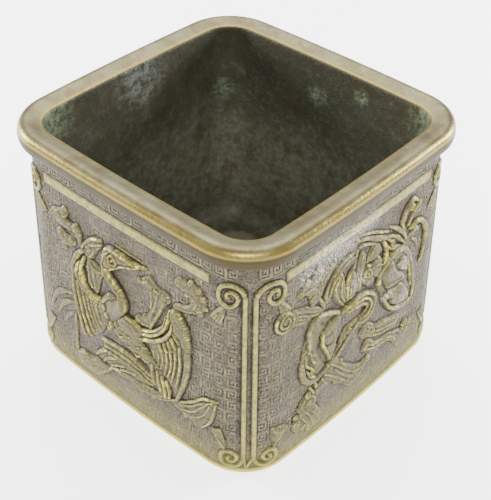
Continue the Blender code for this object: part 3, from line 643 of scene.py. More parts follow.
def lower_left_cloud(c):
    """Lower left cloud."""
    c.pad([(-29.6, 17), (-28.6, 20.4), (-26.4, 22.4), (-23.6, 22.2), (-21.2, 20.8), (-20.2, 18),
           (-20.8, 15.6), (-19.2, 13), (-17.8, 10.4), (-18.4, 7.6), (-20.4, 6), (-22.8, 5.2), (-25, 6.6),
           (-26.2, 8.6), (-28.6, 8.2), (-31, 9.6), (-32.2, 12.6), (-30.8, 15.2)], 0.85, 1)
    c.ridges(([(-28.6, 15.6), (-28, 19.2), (-26, 21.2), (-23.4, 20.8), (-21.6, 18.8)],
              [(-26, 15.2), (-23.6, 11.6), (-22, 6.8)], [(-23.6, 14.6), (-21.2, 11.6), (-19.4, 8.4)],
              [(-27.4, 13.4), (-25.6, 10.4), (-24, 7.2)], [(-24, 24.4), (-23, 22.4), (-21.8, 20.8)],
              [(-21.6, 25), (-20.8, 23), (-20, 21)]), (0.8, 1.2, 0.8), 1.15, moat=0.5)
    c.curls((((-24.6, 17.6), 1.9, 1.4), ((-30, 12.4), 1.9, 1.3), ((-28.8, 18.2), 1.3, -1.2),
             ((-30.4, 15.6), 1.2, 1.2), ((-27.2, 9.4), 1.4, -1.3), ((-23.8, 6.4), 1.5, 1.2),
             ((-19.6, 7.4), 1.4, -1.2), ((-24.8, 21.6), 1.5, 1.2)), 60, 1.2)


def crossing_branch(c):
    """Branch across the lower part."""
    c.pad([(-22, 20), (-20.4, 22.8), (-17.8, 24.2), (-15.6, 27), (-13.4, 29.4), (-10.4, 28.2), (-8.4, 25),
           (-5, 22.2), (-1, 19.2), (2.6, 17.8), (6.4, 18.6), (7.6, 16.4), (4.6, 14.4), (1.4, 12.8),
           (-2, 11.2), (-5.2, 12), (-7.6, 14.6), (-10.8, 17.2), (-12.8, 19.4), (-16, 20.4), (-20.4, 19)],
          0.75, 1)
    c.ridges(([(-14, 28), (-10.6, 24.8), (-6.6, 20.6), (-2.6, 17.2), (2, 15.8), (6.6, 16.8)],
              [(-16.4, 25), (-12.8, 22), (-8.6, 17.8), (-4.6, 14.2), (-0.8, 12.6), (3.4, 14.4)],
              [(-12.4, 24.6), (-8.8, 20.4), (-5.4, 17), (-2, 15)],
              [(-21, 20.4), (-17.6, 21.8), (-14.4, 20.8)], [(-17.8, 24), (-17, 22), (-15.4, 20.6)]),
             (0.8, 1.2, 0.8), 1.15, moat=0.5)
    c.curls((((-19.8, 20.6), 1.4, 1.3), ((-15.4, 26.6), 1.3, -1.3), ((-8.6, 25.4), 1.2, 1.2),
             ((5.8, 16.8), 1.5, -1.3), ((-3.4, 12.6), 1.3, 1.2), ((-11, 18.4), 1.2, 1.2)), 120, 1.25)
    c.pad([(-41, 18.2), (-38.4, 17.4), (-37.6, 15.4), (-35, 16.2), (-33.4, 14.4), (-35.4, 12.4),
           (-38, 10.8), (-40.4, 12), (-41.4, 15)], 0.6, 1)
    c.ridge([(-40, 16.6), (-37.6, 14.4), (-34.8, 14.6)], (0.7, 1.1, 0.6), 0.9, moat=0.4)


def right_clouds(c):
    """Right clouds and leaf."""
    c.pad([(0.2, 30.2), (1.8, 32.8), (4.4, 33.6), (7, 31.8), (9.4, 29.8), (13, 29.2), (17.4, 27.6),
           (21.6, 26.4), (24, 23.6), (21, 21), (17.4, 22), (13.6, 22.4), (10.4, 24), (7, 25.2), (4.6, 27),
           (2.2, 27.6)], 0.9, 1.1)
    c.pad([(3, 24.4), (5, 26), (7.4, 24.8), (9, 22.4), (12, 21.2), (15.4, 20.8), (19, 19.8), (21.6, 17.4),
           (23.6, 13.6), (24.8, 9), (23, 10.4), (20.8, 14), (17.6, 16.8), (13.6, 18), (10.4, 18.2),
           (7.6, 19.4), (4, 20.6), (2.2, 22.4)], 0.75, 1)
    c.ridges(([(4.4, 31.8), (9, 28.8), (14.4, 27.6), (20.4, 25.6)],
              [(5.6, 29), (10, 26.6), (15.4, 25), (21, 23.8)], [(8, 26), (12.6, 23.8), (18, 22.8)],
              [(4.4, 24.2), (8.4, 21.4), (14, 19.8), (18.6, 18.2), (21.8, 15), (24, 10.6)],
              [(4, 22), (8.6, 20), (13, 19), (17.8, 17.4)]), (0.8, 1.3, 0.7), 1.2, moat=0.5)
    for place, radius in (((2.6, 30.8), 1.7), ((7.6, 28.2), 1.4), ((4.6, 23.4), 1.5), ((27.6, 18.6), 1.8),
                          ((30.4, 17.2), 1.7), ((25.8, 16.2), 1.4), ((28.8, 15), 1.6)):
        c.curl(place, radius, 200, 1.3, 1.15)
    c.ridge([(20.2, 18.6), (23.4, 17.6), (26, 14.8)], (0.9, 1.5, 0.8), 0.9)


def tail_bird_top_plumes(c):
    """Plumes across the top."""
    c.feathers([[(-4, 70.2), (0.4, 69.2), (4.4, 67.2), (8.4, 65), (12.6, 62.8), (15.4, 59.6)],
                [(-2.4, 67.6), (1.4, 66.6), (5, 64.8), (8.4, 62.4)],
                [(-1, 71.2), (4, 69.4), (8.6, 67.2), (13, 65)]], ((1.1, 2.3, 1), (0.9, 1.7, 0.8)), 1.35,
               "lines")
    c.feathers([[(13.6, 66.4), (17.4, 63.8), (20.8, 60.8), (23.4, 56.6)],
                [(12.6, 63.4), (16.8, 61), (20, 58.2), (22.6, 55.4)],
                [(12.2, 60), (15.4, 57.2), (19.4, 55.8), (23.8, 54.2)]], ((0.9, 2, 0.9),), 1.4, "lines")
    c.curl((15.8, 59), 1.4, 90, 1.2, 1.5)


def tail_bird_arch(c):
    """Arch on the left of the petals."""
    c.pad([(-18.6, 58), (-16.6, 62), (-13.6, 65.2), (-9.4, 67.2), (-3.4, 67.4), (-3, 65.2), (-8, 64.4),
           (-11.6, 62.8), (-14, 60.2), (-15.4, 57.2), (-16.4, 54.6), (-18.6, 55)], 1, 0.9)
    c.ridge([(-16.6, 57.4), (-15, 61.4), (-12.4, 63.8), (-8.8, 65.2), (-3.8, 65.6)], (1, 1.5, 1.4, 0.9),
            1.45)
    c.ridge([(-14.6, 63.6), (-11, 66), (-6.6, 66.8), (-3.2, 66.4)], (0.6, 0.9, 0.6), 1.25, moat=0.4)


def tail_bird_petals(c):
    """Petals in the middle."""
    c.pad([(-10, 49.4), (-13.4, 53), (-14.6, 57.4), (-13.4, 61.4), (-10.8, 62.8), (-9, 60), (-8.4, 55),
           (-8.4, 51)], 0.9, 1.1, slope=(-0.05, 0))
    for line, width in (([(-9.6, 49.8), (-12.6, 54), (-13.7, 58.4), (-12.4, 61.8)], 1.2),
                        ([(-8.8, 50.4), (-10.6, 54), (-11, 58), (-10, 61)], 0.8),
                        ([(-7.8, 56.6), (-6.4, 59.8), (-4.4, 61.6)], 1.6)):
        c.ridge(line, (0.7 * width, width, 0.6 * width), 1.35, moat=0.7)
    c.pad([(-7.6, 49.6), (-7.9, 54), (-6.6, 58), (-4.4, 59.6), (-3, 57), (-2.8, 52.6), (-4, 49.6)], 1.15,
          1.3, slope=(-0.08, 0.02))
    c.ridge([(-6.2, 50.4), (-6.4, 54), (-5, 58)], (0.6, 1, 0.5), 1.35, moat=0.6)
    c.pad([(-2.2, 49.8), (-2.6, 55.6), (-2.4, 61.6), (-0.8, 65.4), (1.2, 62.6), (0.9, 58.6), (-0.4, 54),
           (-0.6, 50)], 1, 1.2, slope=(0.1, 0))
    c.ridge([(-1.2, 50.4), (-1.4, 57), (-0.6, 63.6)], (0.6, 1.1, 0.6), 1.35, moat=0.6)
    c.pad([(2.2, 58.6), (2.8, 62), (5.2, 64.6), (8.2, 63), (9.6, 60), (7.4, 58.6), (4.8, 58.2)], 0.9, 1.2,
          slope=(0.03, 0.04))
    c.ridge([(3.2, 59.4), (4.4, 62.4), (6.4, 63.6)], (0.6, 1, 0.6), 1.2, moat=0.5)
    c.pad([(0.4, 51.4), (0.2, 55.4), (2, 57.8), (4.6, 57.4), (8, 58.4), (10, 56.4), (10.8, 53.6), (9, 51.2),
           (6.4, 49.6), (3, 49.4)], 1.2, 1.4)
    c.ridge(spiral((2.1, 54.9), 2.2, 300, 1.4, 0.12, 30), (1.1, 0.9, 0.7), 1.6)
    c.ridge([(4.4, 55.8), (7, 55.8), (9.6, 54.4)], (0.8, 1.6, 0.8), 1.5)
    c.ridge([(10.4, 62.6), (12, 59.8), (12.2, 57), (10.6, 53.8)], (0.9, 1.9, 1.6, 0.9), 1.5)
    c.groove([(5.2, 52.4), (7.2, 50)], 1.2, 0.7, 4)
    c.groove([(3.6, 58.8), (4.2, 57.6)], 1.2, 0.5, 4)


def tail_bird_left_plume(c):
    """Left plume: a curled ring with a leaf in it."""
    c.pad([(-25.6, 50.4), (-22.4, 52.2), (-17.6, 51.4), (-13.4, 49.2), (-9.4, 47.2), (-10.4, 44.6),
           (-12.6, 41), (-12.4, 36), (-10, 33), (-12.6, 29.8), (-17.4, 26.8), (-21.4, 25.8), (-25.8, 27),
           (-28, 30.6), (-29, 36), (-28, 41.4), (-26.6, 46)], 0.35, 1.2, "plain")
    c.ridge([(-9.6, 46.4), (-14, 49.2), (-18.4, 51), (-22.6, 51.4), (-25.2, 48.6), (-25.4, 44),
             (-25.6, 40.4)], (1.3, 1.7, 1.8, 1.6, 1.2), 1.6, count=30)
    c.ridge([(-26.8, 42), (-28, 38), (-28, 33.4), (-26.8, 29.4), (-23.6, 26.9), (-19.8, 27), (-16, 28.8),
             (-12.2, 31.4)], (1.2, 2.4, 2.6, 2.4, 1.8), 1.5, "frill", count=34)
    c.ridges(([(-26.9, 40), (-27, 36.6), (-25.2, 34), (-23.4, 32.4)],
              [(-24.6, 39.6), (-24, 36.6), (-22.6, 34.4)], [(-26, 33), (-24.6, 30), (-22.6, 28.8)]),
             (0.8, 1.2, 0.8), 1.6, moat=0.7)
    for place in ((-24, 31.4), (-23.6, 37.4)):
        c.curl(place, 1.3, 0, 1.2, 1.55)
    c.groove([(-20.8, 40.4), (-20, 37), (-18.2, 33.4), (-17, 30.8)], 2.2, 0.5)
    c.groove([(-19.4, 48.4), (-17.6, 46.8), (-15.4, 47.6)], 2, 0.5)
    c.pad([(-20, 43.6), (-17, 46.2), (-14.6, 47), (-11.4, 47.2), (-10.4, 45), (-12, 42.6), (-11.8, 40),
           (-12.4, 36.6), (-13.2, 33), (-15.6, 30.6), (-17, 33.4), (-18.8, 37), (-20.2, 40.4)], 1.5, 1.6,
          "plain", slope=(-0.02, 0.01))
    c.grooves(([(-20, 43.4), (-16.6, 42), (-12.2, 43.6)], [(-19.4, 39.6), (-16.4, 38.2), (-12.6, 39.6)],
               [(-17.6, 35), (-15.4, 34.2), (-13.2, 35)]), 1.5, 0.55, 10)
    c.ridge([(-19.2, 44.4), (-19.4, 40.6), (-17.8, 36.6), (-15.6, 32)], (0.8, 1.3, 0.8), 1.95, moat=0.3)


def tail_bird_body(c):
    """Body: loops round the root of the tail."""
    c.pad([(-10.6, 47.8), (-6.6, 48), (-2, 49), (2.6, 48), (6.8, 45.8), (8.2, 42), (7.2, 38.4), (4.6, 36),
           (1, 35.8), (-2.6, 36.6), (-4, 35), (-7.4, 32), (-11, 29.4), (-13.6, 31), (-10.4, 34.4),
           (-8.4, 38.4), (-4.6, 39.2), (0, 39.2), (3, 41), (1.6, 42.6), (-3, 43.4), (-7.6, 44.8)], 1.2, 1.3)
    for line, width in (([(-9.8, 47), (-3, 47.9), (2.6, 47), (6.5, 44), (7.1, 40), (4.4, 37.1), (0, 36.8)],
                         1.7), ([(-6, 46.4), (0, 46.2), (4, 44), (5.2, 41), (3.6, 38.8), (0, 38)], 1.3),
                        ([(-6.6, 45.2), (-0.6, 44.4), (2.8, 42.6)], 1.2),
                        ([(-12.6, 30.2), (-8.8, 32.8), (-5.4, 35.6), (-2.4, 37.2), (0, 38)], 1.5)):
        c.ridge(line, (0.8 * width, width, 0.8 * width), 1.8, moat=0.8, count=26)
    c.curl((-6.3, 36.9), 1.5, 0, 1.3, 1.6)
    c.groove([(0.6, 39.7), (2.8, 40.7)], 1.4, 0.9, 4)
    c.groove([(-8.3, 38.2), (-8.9, 34.4)], 1, 0.5, 6)


def tail_bird_right_plume(c):
    """Right plume: smooth swelling folds inside a ring."""
    c.pad([(8, 46.4), (9.4, 51), (12.6, 54.6), (17, 56), (22, 54.6), (25.6, 51), (28.2, 46), (29.8, 40),
           (30.8, 34), (30.6, 29.4), (27.4, 27.6), (23, 28), (18.6, 29.8), (14.6, 33), (12, 37), (11, 41)],
          0.5, 1.3, "plain")
    c.ridge([(8.6, 47), (10.2, 51), (13.2, 54), (17, 55.1), (21.6, 53.8), (25, 50.4), (27.4, 45),
             (28.9, 39), (29.9, 34), (29.6, 30)], (1.5, 2.2, 2.4, 2.3, 1.6), 1.8, count=40)
    c.ridge([(24, 49.4), (25.9, 45), (27, 40), (27.9, 35.4)], (0.7, 1, 0.7), 1.6, moat=0.6)
    c.ridge([(12.6, 39), (14.2, 35.6), (17, 32), (20.4, 29.8), (24.4, 28.5), (29.6, 28.8)],
            (1.3, 1.9, 2, 1.3), 1.75, count=30)
    c.pad([(9.8, 48.8), (11.6, 51.6), (16, 52.4), (17.6, 49.4), (19.6, 46), (22.8, 43.4), (23.8, 40.8),
           (20.4, 41.2), (16, 41.4), (13.2, 42.4), (12, 45)], 2.3, 2.4, "plain")
    c.pad([(18.6, 48.8), (20.8, 50.2), (23.4, 50), (24.6, 47), (24.9, 43.2), (22.8, 44.4), (20.4, 46.2)],
          1.6, 1, "plain")
    c.pad([(12.2, 39.8), (14.4, 41), (18, 40.4), (21.8, 40.2), (24.6, 37.2), (26.8, 33.6), (27, 31),
           (24, 30.6), (20, 31.6), (16.6, 33.8), (15, 36)], 2.3, 2.4, "plain")
    c.groove([(12.4, 45.6), (16.4, 44), (20.4, 43.4)], 1.1, 0.45)
    c.groove([(14.6, 38.8), (15.6, 36.6)], 1.9, 0.9, 4)
    c.groove([(18, 38.6), (21, 36.8), (24, 33.8)], 1.2, 0.4)
    c.groove([(8.6, 43), (10, 41.8)], 1.4, 0.6, 4)


def tail_bird_far_loop(c):
    """Far loop and the crest at the upper right."""
    c.ridge([(25.4, 59.6), (29.6, 60.4), (33.2, 58), (35.2, 53.6), (35.4, 47.6), (33.4, 42)],
            (1.1, 1.8, 2.1, 1.9, 1), 1.6, count=30)
    c.ridge([(25.6, 57), (28.6, 57.6), (30.6, 56.4)], (1, 2.2, 1), 1.2)
    c.ridge([(27.4, 54.2), (29.6, 52.4), (30.8, 49.6)], (0.8, 1.8, 0.8), 0.9)
    c.ridge([(20.6, 61.6), (20.6, 65.4), (22.8, 69.2), (26.2, 70.6), (28.8, 68.4)], (1, 1.8, 1.9, 0.8), 1.4)
    c.ridge([(24.2, 61.6), (26.6, 65.4), (30.4, 67.8)], (1, 1.7, 0.8), 1.2)
    c.curl((25, 67.8), 1.7, 0, 1.3, 1.6)


# The forms of the phoenix's walls and of the long-tailed bird's, in the order in which they are laid:
# first those round the bird, which only the shown walls carry, then the bird's own.
WALL_FORMS = (
    ((upper_right_cloud, upper_left_cloud, left_plumes, lower_branch, right_leaf),
     (phoenix_crest, phoenix_scarf, phoenix_tail, phoenix_left_wing, phoenix_right_wing, phoenix_body,
      phoenix_neck, phoenix_head)),
    ((spiral_cloud, ragged_plume, lower_left_cloud, crossing_branch, right_clouds),
     (tail_bird_top_plumes, tail_bird_arch, tail_bird_petals, tail_bird_left_plume, tail_bird_body,
      tail_bird_right_plume, tail_bird_far_loop)),
)


def sheet_columns():
    """Places along a sheet: even cells across the key pattern, and wider ones round the corners."""
    cells = round(FRET_UNITS * FRET / CELL)
    fine = np.arange(-cells, cells + 1) * CELL
    edge = np.linspace(fine[-1], SHEET_HALF, 9)[1:]
    return np.concatenate([-edge[::-1], fine, edge])


def sheet_rows():
    """Heights up a sheet: the foot's own rows, then even cells."""
    foot = np.linspace(0, FOOT_TOP, 12)[:-1]
    return np.concatenate([foot, np.arange(FOOT_TOP, SHEET_TOP - CELL / 2, CELL), [SHEET_TOP]])


def carve(wall):
    """One wall's whole relief, in the order in which its forms lie over each other."""
    carving = Carving(sheet_columns(), sheet_rows(), wall + 1)
    carving.fret(FOOT_TOP, BAND_LOW - 0.2, FRET_DEPTH)
    carving.fret(SHEET_TOP - FRET, SHEET_TOP, TOP_FRET_DEPTH)
    frame_relief(carving, wall)
    surroundings, bird = WALL_FORMS[wall % 2]
    # The far walls can't be seen, so they carry the two birds alone.
    shown = wall < 2
    for draw in surroundings + bird if shown else bird:
        draw(carving)
    carving.settle()
    carving.band = np.maximum(carving.band, carving.y < FOOT_BRIGHT)
    bead = np.interp(carving.y, FOOT_BEAD_LEVELS, FOOT_BEAD_HEIGHTS)
    carving.height = np.maximum(carving.height, bead)
    carving.roughen()
    return carving


def deselect():
    bpy.ops.object.select_all(action="DESELECT")


def in_edit(*steps):
    """Runs steps in edit mode, on the whole mesh."""
    bpy.ops.object.mode_set(mode="EDIT")
    bpy.ops.mesh.select_all(action="SELECT")
    for step in steps:
        step()
    bpy.ops.object.mode_set(mode="OBJECT")


def face_outwards():
    bpy.ops.mesh.normals_make_consistent(inside=False)


def coordinates(piece):
    flat = np.empty(len(piece.data.vertices) * 3)
    piece.data.vertices.foreach_get("co", flat)
    return flat.reshape(-1, 3)


def reshape(piece, points):
    piece.data.vertices.foreach_set("co", (np.asarray(points) * MM).ravel())
    piece.data.update()


def put_attribute(piece, name, values):
    layer = piece.data.attributes.new(name, "FLOAT", "POINT")
    layer.data.foreach_set("value", np.asarray(values, float))


def put_finishes(piece, numbers):
    """Gives each face the finish with its number."""
    piece.data.polygons.foreach_set("material_index", numbers)


def steps_round(spots, around):
    """For a round mesh's points: the wall that each step round it becomes, and the place along it."""
    place = np.arctan2(spots[:, 1], spots[:, 0]) / (2 * math.pi) % 1.0
    step = np.rint(place * around).astype(int) % around
    # The mesh starts in the middle of the right wall, and its steps run the same way as the walls.
    per_wall = around // 4
    shifted = (step + per_wall // 2) % around
    return (shifted // per_wall + 1) % 4, (shifted % per_wall) / per_wall * 2 * SHEET_HALF - SHEET_HALF


def dress(piece, name, finishes, smooth):
    """Names a finished piece, smooths it and hands it over to the frame."""
    piece.name = name
    piece.data.name = name
    for finish in finishes:
        piece.data.materials.append(finish)
    deselect()
    piece.select_set(True)
    bpy.context.view_layer.objects.active = piece
    bpy.ops.object.shade_smooth_by_angle(angle=math.radians(smooth))
    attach(piece, "root")
    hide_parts("censer")


# Edges sharper than this, in degrees, stay sharp.
RELIEF_SMOOTH, FLOOR_SMOOTH = 75, 60


def inner_path():
    """Rows of a wall's inner side, from its top to the floor and back under: level and inset."""
    rows = [(level, WALL) for level in np.linspace(SHEET_TOP, FLOOR + FILLET, 4)]
    for degrees in np.linspace(0, 90, 8)[1:]:
        angle = math.radians(degrees)
        rows.append((FLOOR + FILLET * (1 - math.sin(angle)), WALL + FILLET * (1 - math.cos(angle))))
    rows.append((0.0, WALL + FILLET))
    return np.array(rows)


def make_wall(wall, finishes):
    """A grid rolled round the wall's section: carved outside, smooth inside, closed at its ends."""
    carving = carve(wall)
    columns = carving.x[0]
    outer = carving.y[:, 0]
    inner = inner_path()
    row_count = len(outer) + len(inner) + 1
    deselect()
    bpy.ops.mesh.primitive_grid_add(x_subdivisions=len(columns) - 1, y_subdivisions=row_count - 1, size=2)
    piece = bpy.context.object
    spots = coordinates(piece)
    column = np.rint((spots[:, 0] + 1) / 2 * (len(columns) - 1)).astype(int)
    row = np.rint((spots[:, 1] + 1) / 2 * (row_count - 1)).astype(int)
    closing = row == row_count - 1
    row[closing] = 0
    outside = row < len(outer)
    outer_row = np.where(outside, row, 0)
    inner_row = np.where(outside, 0, row - len(outer))
    level = np.where(outside, outer[outer_row], inner[inner_row, 0])
    inset = np.where(outside, 0.0, inner[inner_row, 1])
    chamfer = FOOT_CHAMFER * np.clip(1 - level / 0.9, 0, 1)
    out = np.where(outside, carving.height[outer_row, column] - chamfer, 0.0)
    reshape(piece, wall_points(wall, columns[column], level, out, inset))
    for name, values in carving.wear().items():
        put_attribute(piece, name, np.where(outside, values[outer_row, column], 0.0))
    put_attribute(piece, "inner", ~outside & ~closing)
    in_edit(lambda: bpy.ops.mesh.remove_doubles(threshold=0.001 * MM))
    in_edit(lambda: bpy.ops.mesh.fill_holes(sides=0), face_outwards)
    dress(piece, WALL_NAMES[wall], finishes, RELIEF_SMOOTH)
    inner = [point.value for point in piece.data.attributes["inner"].data]
    put_finishes(piece, [int(min(inner[corner] for corner in face.vertices) > 0.5)
                         for face in piece.data.polygons])


# Inset from the rim's outer edge, corner radius and level, from the inside over the top to the wall
RIM_PROFILE = (
    (8.6, 10.0, 82.3), (8.6, 10.0, 85.2), (8.6, 10.0, 87.9), (8.28, 10.4, 88.68), (7.5, 11.3, 89.0),
    (6.0, 13.2, 89.34), (4.3, 15.0, 89.8), (2.9, 16.4, 90.0), (1.9, 17.4, 89.82), (1.0, 18.3, 89.3),
    (0.45, 18.85, 88.6), (0.15, 19.15, 87.8), (0.0, 19.3, 86.8), (0.1, 19.2, 85.8), (0.3, 19.0, 84.7),
    (0.75, 18.5, 84.0), (1.4, 17.9, 83.6), (2.8, 16.3, 83.0), (4.1, 14.5, 82.3),
)
RIM_WIDTH = RIM_PROFILE[0][0]
# Faces set in further than this belong to the inside.
RIM_INSIDE = 8.2


def make_rim(finishes, around=256, across=56):
    """A torus reshaped to the rim's rounded square and its dished profile."""
    deselect()
    bpy.ops.mesh.primitive_torus_add(major_segments=around, minor_segments=across,
                                     major_radius=2, minor_radius=1)
    piece = bpy.context.object
    spots = coordinates(piece)
    wall, along = steps_round(spots, around)
    turn = np.arctan2(spots[:, 2], 2 - np.hypot(spots[:, 0], spots[:, 1])) / (2 * math.pi) % 1.0
    minor = np.rint(turn * across).astype(int) % across
    profile = spline(RIM_PROFILE, across - 1)[minor]
    points = np.empty_like(spots)
    for side in range(4):
        here = wall == side
        points[here, :2] = section(side, along[here], profile[here, 0], profile[here, 1], BOW_TOP)
    points[:, 2] = profile[:, 2]
    reshape(piece, points)
    put_attribute(piece, "rim_place", profile[:, 0] / RIM_WIDTH)
    put_attribute(piece, "rim_side", np.clip((TOTAL_HEIGHT - profile[:, 2]) / RIM_HEIGHT, 0, 1))
    in_edit(face_outwards)
    dress(piece, "rim", finishes, RELIEF_SMOOTH)
    put_finishes(piece, [int(min(profile[corner, 0] for corner in face.vertices) > RIM_INSIDE)
                         for face in piece.data.polygons])


def make_floor(finishes, around=384, rings=24):
    """A flattened sphere reshaped to a slab: the vessel's floor above, its underside below."""
    deselect()
    bpy.ops.mesh.primitive_uv_sphere_add(segments=around, ring_count=rings * 2, radius=1)
    piece = bpy.context.object
    spots = coordinates(piece)
    wall, along = steps_round(spots, around)
    # 0 at the sphere's top, 1 at its widest ring and 2 at its bottom
    polar = np.arccos(np.clip(spots[:, 2], -1, 1)) / math.pi * 2
    above = polar <= 1.0001
    ring = np.where(above, polar, np.minimum(1.0, (2.0 - polar) * rings / (rings - 1)))
    level = np.where(above, FLOOR, 0.0)
    points = np.empty_like(spots)
    for side in range(4):
        here = wall == side
        edge = wall_points(side, along[here], level[here], 0.0, WALL + FILLET)
        points[here, :2] = edge[:, :2] * ring[here, None]
    points[:, 2] = level
    reshape(piece, points)
    in_edit(face_outwards)
    dress(piece, "floor", finishes, FLOOR_SMOOTH)
    put_finishes(piece, [int(face.normal.z >= 0) for face in piece.data.polygons])


class Number:
    """A shader socket that can be added, multiplied and so on."""

    def __init__(self, finish, socket):
        self.finish = finish
        self.socket = socket

    def join(self, operation, *values):
        return self.finish.maths(operation, *values)

    def __add__(self, other):
        return self.join("ADD", self, other)

    __radd__ = __add__

    def __sub__(self, other):
        return self.join("SUBTRACT", self, other)

    def __rsub__(self, other):
        return self.join("SUBTRACT", other, self)

    def __mul__(self, other):
        return self.join("MULTIPLY", self, other)

    __rmul__ = __mul__

    def __truediv__(self, other):
        return self.join("DIVIDE", self, other)

    def clipped(self):
        return self.join("MINIMUM", self.join("MAXIMUM", self, 0.0), 1.0)

    def step(self, low, high):
        """0 below low, 1 above high and smooth between them."""
        range_node = self.finish.node("ShaderNodeMapRange", {"interpolation_type": "SMOOTHSTEP"},
                                      {"Value": self, "From Min": low, "From Max": high})
        return Number(self.finish, range_node.outputs["Result"])


SPECULAR = 0.2


class Finish:
    """A bronze surface, built from nodes."""

    def __init__(self, name):
        self.material = bpy.data.materials.new(name)
        self.material.use_nodes = True
        self.tree = self.material.node_tree
        self.shader = self.tree.nodes["Principled BSDF"]
        self.shader.inputs["Specular IOR Level"].default_value = SPECULAR
        self.place = self.node("ShaderNodeTexCoord").outputs["Object"]

    def node(self, kind, settings=None, values=None):
        node = self.tree.nodes.new(kind)
        for name, value in (settings or {}).items():
            setattr(node, name, value)
        for name, value in (values or {}).items():
            self.feed(node.inputs[name], value)
        return node

    def feed(self, socket, value):
        if isinstance(value, Number):
            value = value.socket
        if isinstance(value, bpy.types.NodeSocket):
            self.tree.links.new(value, socket)
        else:
            socket.default_value = value

    def maths(self, operation, *values):
        node = self.node("ShaderNodeMath", {"operation": operation}, dict(enumerate(values)))
        return Number(self, node.outputs[0])

    def attribute(self, name):
        node = self.node("ShaderNodeAttribute", {"attribute_name": name})
        return Number(self, node.outputs["Fac"])

    def noise(self, size, detail, rough, warp=0.0, shift=(0, 0, 0)):
        """Cloudy noise from 0 to 1; size is its grain in millimetres."""
        place = self.node("ShaderNodeMapping", None, {"Vector": self.place, "Location": shift}).outputs[0]
        node = self.node("ShaderNodeTexNoise", {"noise_dimensions": "3D"},
                         {"Vector": place, "Scale": 1 / (size * MM), "Detail": detail,
                          "Roughness": rough, "Distortion": warp})
        return Number(self, node.outputs[0])

    def level(self):
        """Height over the ground, in metres."""
        split = self.node("ShaderNodeSeparateXYZ", None, {"Vector": self.place})
        return Number(self, split.outputs["Z"])

    def spot(self, middle, size):
        """1 at a place, given in millimetres, falling to 0 at a distance of size."""
        gap = self.node("ShaderNodeVectorMath", {"operation": "DISTANCE"},
                        {0: self.place, 1: tuple(value * MM for value in middle)})
        return (1.0 - Number(self, gap.outputs["Value"]) / (size * MM)).clipped()

    def mixed(self, share, first, second):
        """The first colour, and the second where share is 1."""
        node = self.node("ShaderNodeMix", {"data_type": "RGBA"})
        self.feed(node.inputs[0], share)
        for socket, value in ((node.inputs[6], first), (node.inputs[7], second)):
            self.feed(socket, value if isinstance(value, bpy.types.NodeSocket) else (*value, 1.0))
        return node.outputs[2]

    def done(self, colour, rough, height, depth):
        """Hands the colour, roughness and bumps, depth millimetres deep, to the shader."""
        bump = self.node("ShaderNodeBump", None,
                         {"Strength": 1.0, "Distance": depth * MM, "Height": height})
        for name, value in (("Base Color", colour), ("Roughness", rough), ("Normal", bump.outputs[0])):
            self.feed(self.shader.inputs[name], value)
        return self.material


GROUND = (0.054, 0.047, 0.032)
GROUND_WARM = (0.100, 0.078, 0.055)
GROUND_DARK = (0.038, 0.029, 0.021)
OLIVE_BRONZE = (0.090, 0.081, 0.031)
FRET_BRONZE = (0.155, 0.138, 0.076)
GOLD = (0.400, 0.347, 0.066)
STRIP_GOLD = (0.228, 0.203, 0.052)
# Dark colour for the painted shade in the relief's hollows, and for the fine dark grain on the plain
# ground.
GRIME_AND_SHADE = (0.008, 0.006, 0.003)
# Pale colour of the painted highlights (glints) on the right wall.
GLINT_WHITE = (0.42, 0.41, 0.36)
VERDIGRIS = (0.17, 0.22, 0.13)
PATINA = (0.040, 0.041, 0.027)
PATINA_LIGHT = (0.080, 0.080, 0.056)
# Paler patina colour, painted as light on the lower inside walls.
PATINA_LIT = (0.142, 0.147, 0.100)
MOUTH_SHADE = (0.026, 0.025, 0.014)
RUST = (0.050, 0.034, 0.016)
CHALK = (0.18, 0.19, 0.175)
EARTH = (0.21, 0.180, 0.125)
RIM_GREY = (0.108, 0.092, 0.042)
RIM_PALE = (0.178, 0.162, 0.086)
RIM_BROWN = (0.125, 0.074, 0.034)
RIM_GREEN = (0.15, 0.19, 0.13)
RIM_GOLD = (0.235, 0.180, 0.042)
# Painted shade: the dark line below the rim's top, and its darkened underside.
RIM_SHADE = (0.042, 0.033, 0.014)
RIM_UNDER_SHADE = (0.040, 0.030, 0.014)

# Middle and size, in millimetres, of the glints painted as highlights on the right wall and of the marks
# inside
GLINT_SPOTS = (((51, -24, 71), 8), ((51, -17, 72), 8), ((51, -10, 72), 8), ((51, -3, 73), 7),
              ((51, 4, 74), 5), ((53, 22, 47), 5), ((53, 23, 33), 5), ((53, 13.5, 39), 3),
              ((51, -3, 55), 5))
CHALK_SPOT = ((-46, 2, 84), 14)
GREEN_SPOTS = (((-46, 41, 64), 6), ((-4.6, 45, 75), 5), ((14, 45, 82), 4), ((-46, -38, 85), 13),
               ((42, 45, 86), 11))
EARTH_SPOT = ((-28, 29.5, 6), 11)


